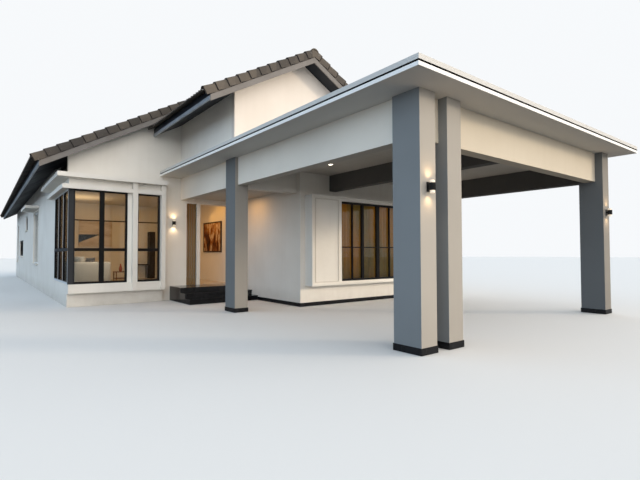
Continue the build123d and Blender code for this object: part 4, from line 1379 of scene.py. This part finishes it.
# %% [markdown]
# ## Cabinet, console and low table
# A tall dark cabinet and a slim console stand against the far wall, and a low table
# stands behind the sofa's end. Each is a few boards, because only their outlines show
# through the window.

# %% Stand the cabinet and the tables on the floor
LEG = 0.025


def add_legs(bm, low, high, inset):
    """Adds four square legs in the corners of a box."""
    for x in (low[0] + inset, high[0] - inset - LEG):
        for y in (low[1] + inset, high[1] - inset - LEG):
            add_box(bm, (x, y, low[2]), (x + LEG, y + LEG, high[2]))


cabinet = bmesh.new()
add_box(cabinet, (-1.61, far_wall - 0.30, floor_z), (-1.40, far_wall, 2.25))
for x in (-1.575, -1.505):
    for z in (floor_z + 0.06, floor_z + 0.95):
        add_box(cabinet, (x, far_wall - 0.308, z), (x + 0.06, far_wall - 0.298, z + 0.82))

console = bmesh.new()
low, high = (-2.15, far_wall - 0.34, floor_z), (-1.64, far_wall - 0.02, 0.98)
add_box(console, (*low[:2], high[2] - 0.03), high)
add_legs(console, low, (*high[:2], high[2] - 0.03), 0.02)

low_table = bmesh.new()
low, high = (-3.32, -3.25, floor_z), (-2.82, -2.85, 0.80)
for top in (high[2], floor_z + 0.165):
    add_box(low_table, (*low[:2], top - 0.025), (*high[:2], top))
add_legs(low_table, low, (*high[:2], high[2] - 0.02), 0.01)

furniture = (
    ("tall_cabinet", cabinet, dark_wood), ("console_table", console, dark_wood),
    ("low_table", low_table, table_wood),
)
for name, bm, finish in furniture:
    soften(bm, 0.002, 1)
    new_piece(name, bm, finish)

# %% [markdown]
# ## Vase
# A small clay vase stands on the low table. Its outline runs up the outside, over the
# lip and down the inside, and is spun about the middle, as on a potter's wheel.

# %% Throw the vase
VASE = (
    (0, 0), (0.034, 0), (0.052, 0.05), (0.055, 0.10), (0.034, 0.17), (0.020, 0.22), (0.026, 0.25),
    (0.021, 0.25), (0.015, 0.22), (0.028, 0.17), (0.048, 0.10), (0.028, 0.01), (0, 0.008),
)
bm = bmesh.new()
lathe(bm, VASE, Vector((-3.13, -3.06, high[2])))
vase_glaze = coated_metal("vase_glaze", paint(176, 92, 62), 0.25)
new_piece("table_vase", bm, vase_glaze, smooth=60)

# %% [markdown]
# ## Blind in the tall side window
# A pale roller blind is down behind the tall window under the hood: one stiff sheet on
# a round tube, with a slim bar in its hem.

# %% Hang the blind
BLIND_FRONT, BLIND_BACK, BLIND_FOOT, BLIND_TOP = 1.80, 3.76, 1.03, 3.05
BLIND_WIDTH, BLIND_DROP = BLIND_BACK - BLIND_FRONT, BLIND_TOP - BLIND_FOOT
blind_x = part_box("left_side_wall")[1].x + 0.015
blind_y = (BLIND_FRONT + BLIND_BACK) / 2


def along_window(z, axis):
    """The place of a part of the blind, with a quarter turn about an axis."""
    turn = Matrix.Rotation(math.radians(90), 4, axis)
    return Matrix.Translation((blind_x, blind_y, z)) @ turn


bm = bmesh.new()
bmesh.ops.create_grid(bm, x_segments=8, y_segments=8, size=0.5)
size = Matrix.Diagonal((BLIND_DROP, BLIND_WIDTH, 1, 1))
place = along_window((BLIND_FOOT + BLIND_TOP) / 2, "Y")
bmesh.ops.transform(bm, matrix=place @ size, verts=bm.verts)
blind = new_piece("window_blind", bm, blind_cloth)

bm = bmesh.new()
for z, radius in ((BLIND_TOP + 0.018, 0.02), (BLIND_FOOT - 0.004, 0.007)):
    bmesh.ops.create_cone(
        bm, cap_ends=True, segments=20, radius1=radius, radius2=radius,
        depth=BLIND_WIDTH + 0.02, matrix=along_window(z, "X"),
    )
blind_white = coated_metal("blind_white", paint(222, 222, 218), 0.5)
new_piece("blind_tube", bm, blind_white)

# %% [markdown]
# ## Screen behind the sidelight
# The narrow glass beside the doorway has upright timber slats behind it. One slat is
# softened and then copied in a row.

# %% Fit the slats
SLAT_PITCH = 0.0705
glass_low, glass_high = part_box("sidelight_glass")
bm = bmesh.new()
add_box(bm, (glass_low.x + 0.004, glass_high.y + 0.012, glass_low.z + 0.002),
        (glass_low.x + 0.052, glass_high.y + 0.052, glass_high.z - 0.002))
soften(bm, 0.003, 1)
repeat(bm, (SLAT_PITCH, 0, 0), 4)
new_piece("sidelight_slats", bm, slat_wood)

# %% [markdown]
# ## Floor
# The house stands on a plain matt floor. It is pale to the camera and duller to the
# light that bounces, so that the ceilings aren't lit from below as in a white studio.

# %% Make the floor
def pale_floor():
    """A matt floor, pale where the camera sees it."""
    made = Finish("pale_floor", paint(228, 227, 225), 0.9)
    made.set("Specular IOR Level", 0.1)
    rays = made.node("ShaderNodeLightPath", "Is Camera Ray", {})
    made.set("Base Color", made.mix(rays, paint(122, 121, 120), paint(228, 227, 225)))
    return made.material


bm = bmesh.new()
bmesh.ops.create_circle(bm, cap_ends=True, segments=64, radius=140)
bmesh.ops.translate(bm, verts=bm.verts, vec=(0, 0, -0.002))
mesh = bpy.data.meshes.new("studio_floor")
bm.to_mesh(mesh)
bm.free()
studio_floor = bpy.data.objects.new("studio_floor", mesh)
bpy.context.scene.collection.objects.link(studio_floor)
mesh.materials.append(pale_floor())
print("floor made")

# %% [markdown]
# ## Sky
# The plain sky is brighter in front of the house than beside it, and brightest low
# down. The camera sees a white backdrop instead, also through glass, and mirrors see a
# dim sky, so that the rooms show behind their panes.

# %% Light the sky
FRONT_SKY = (0.95, 0.91, 0.86, 1)
SIDE_SKY = (0.31, 0.43, 0.56, 1)
TOWARDS_DRIVE = (0.55, -0.83, 0.0)
SKY_STRENGTH, MIRRORED_SKY = 1.8, 0.18
HORIZON, ZENITH = 1.9, 0.68

world = bpy.data.worlds.new("studio_sky")
bpy.context.scene.world = world
world.use_nodes = True
world.node_tree.nodes.clear()
sky = Network(world.node_tree)
rays = sky.tree.nodes.new("ShaderNodeLightPath").outputs
direction = sky.node("ShaderNodeTexCoord", "Generated", {})
facing = sky.node(
    "ShaderNodeVectorMath", "Value", {0: direction, 1: TOWARDS_DRIVE}, operation="DOT_PRODUCT",
)
tint = sky.mix(sky.levels(facing, -0.45, 0.75), SIDE_SKY, FRONT_SKY)
by_ray = sky.levels(rays["Is Glossy Ray"], 0.0, 1.0, SKY_STRENGTH, MIRRORED_SKY)
by_height = sky.levels(sky.axis(direction, "Z"), 0.0, 0.8, HORIZON, ZENITH)
strength = sky.sum("MULTIPLY", by_ray, by_height)
background = "ShaderNodeBackground"
glow = sky.node(background, "Background", {"Color": tint, "Strength": strength})
backdrop = sky.node(background, "Background", {"Color": (0.93, 0.95, 0.97, 1)})
seen = sky.sum("MAXIMUM", rays["Is Camera Ray"], rays["Is Transmission Ray"])
either = sky.node("ShaderNodeMixShader", "Shader", {0: seen, 1: glow, 2: backdrop})
output = sky.tree.nodes.new("ShaderNodeOutputWorld")
sky.give(output.inputs["Surface"], either)
print("sky made of", len(sky.tree.nodes), "nodes")

# %% [markdown]
# ## Lamps
# One far soft lamp stands low on the right, as the sun does early or late. Warm lamps
# light the rooms, the porch and the wall beside each wall lamp. Area lamps suit the
# ceilings, and spot lamps make the fans of light. Little lamp light gets through glass
# that bends it, so each room's lamps stand inside it.

# %% Light the house and its rooms
WARM = (1.0, 0.50, 0.12)
SUNLIGHT = (1.0, 0.82, 0.60)
SOFT_WHITE = (1.0, 0.82, 0.66)
CEILING_GOLD = (1.0, 0.68, 0.38)
DRAPE_GOLD = (1.0, 0.80, 0.46)
WALL_LAMP_LIGHT = (1.0, 0.70, 0.40)
UP, BACK = (0, 0, 1), (0, 1, 0)


def lamp(kind, name, place, energy, colour, direction=(0, 0, -1), **settings):
    """Adds a lamp that shines along a direction."""
    data = bpy.data.lights.new(name, kind)
    data.energy = energy
    data.color = colour
    for key, value in settings.items():
        setattr(data, key, value)
    item = bpy.data.objects.new(name, data)
    item.rotation_euler = Vector(direction).to_track_quat("-Z", "Y").to_euler()
    item.location = place
    item.visible_camera = False
    item.visible_glossy = False
    item.visible_transmission = False
    bpy.context.scene.collection.objects.link(item)


lamp("SUN", "low_sun", (0, 0, 0), 1.5, SUNLIGHT, (-1.0, 0.9, -0.26), angle=math.radians(7))
lamp("AREA", "room_lamp", (-2.7, -3.1, 3.2), 24, WARM, shape="RECTANGLE", size=3.0, size_y=3.0)
lamp("AREA", "bay_lamp", (-3.9, -5.5, 1.75), 13, SOFT_WHITE, (0, 1, -0.7),
     shape="RECTANGLE", size=2.0, size_y=0.8)
lamp("AREA", "cove_lamp", (-4.3, -2.7, 2.62), 11.0, CEILING_GOLD, UP, size=1.1)
lamp("AREA", "foyer_lamp", (-0.95, -4.6, 3.2), 9, WARM, size=0.6)
lamp("SPOT", "picture_lamp", (-0.62, -3.95, 3.1), 6, WARM, (0.4, 0, -1),
     spot_size=math.radians(80), spot_blend=0.8)
lamp("AREA", "porch_lamp", (-1.0, -7.2, 3.06), 9, WARM, size=0.8)
lamp("AREA", "window_lamp", (2.415, window_high.y + 0.08, 1.75), 4.6, DRAPE_GOLD, BACK,
     shape="RECTANGLE", size=2.9, size_y=2.1)
lamp("SPOT", "ceiling_lamp", (-0.307, -10.718, 3.50), 12, WARM,
     spot_size=math.radians(110), spot_blend=0.8)
for number, (x, face) in enumerate(lamp_feet):
    for way in (1, -1):
        place = (x, face - LAMP_OUT, LAMP_Z + way * 0.103)
        lamp("SPOT", f"wall_lamp_{number}_{way + 1}", place, 4.0, WALL_LAMP_LIGHT, (0, 0.1, way),
             spot_size=math.radians(150), spot_blend=1.0, shadow_soft_size=0.04)
print("lamps", len(bpy.data.lights))

# %% [markdown]
# ## Camera
# The photograph was taken at eye height, left of the drive, looking across the house.
# The lens and the place come from a fit to the straight edges of the building.

# %% Set the camera
EYE = (-6.829, -18.706, 1.3995)
LENS, SENSOR = 24.495, 36
YAW, TILT, ROLL = -37.886, 1.7146, -0.134
camera_data = bpy.data.cameras.new("street_view")
camera_data.sensor_width = SENSOR
camera_data.lens = LENS
camera_data.clip_end = 500
camera = bpy.data.objects.new("street_view", camera_data)
turn = Matrix.Rotation(math.radians(YAW), 4, "Z")
tilt = Matrix.Rotation(math.radians(90 + TILT), 4, "X")
roll = Matrix.Rotation(math.radians(ROLL), 4, "Z")
camera.matrix_world = Matrix.Translation(EYE) @ turn @ tilt @ roll
bpy.context.scene.collection.objects.link(camera)
bpy.context.scene.camera = camera
bpy.context.scene.view_settings.view_transform = "Standard"
print("camera at", tuple(round(v, 3) for v in camera.location))
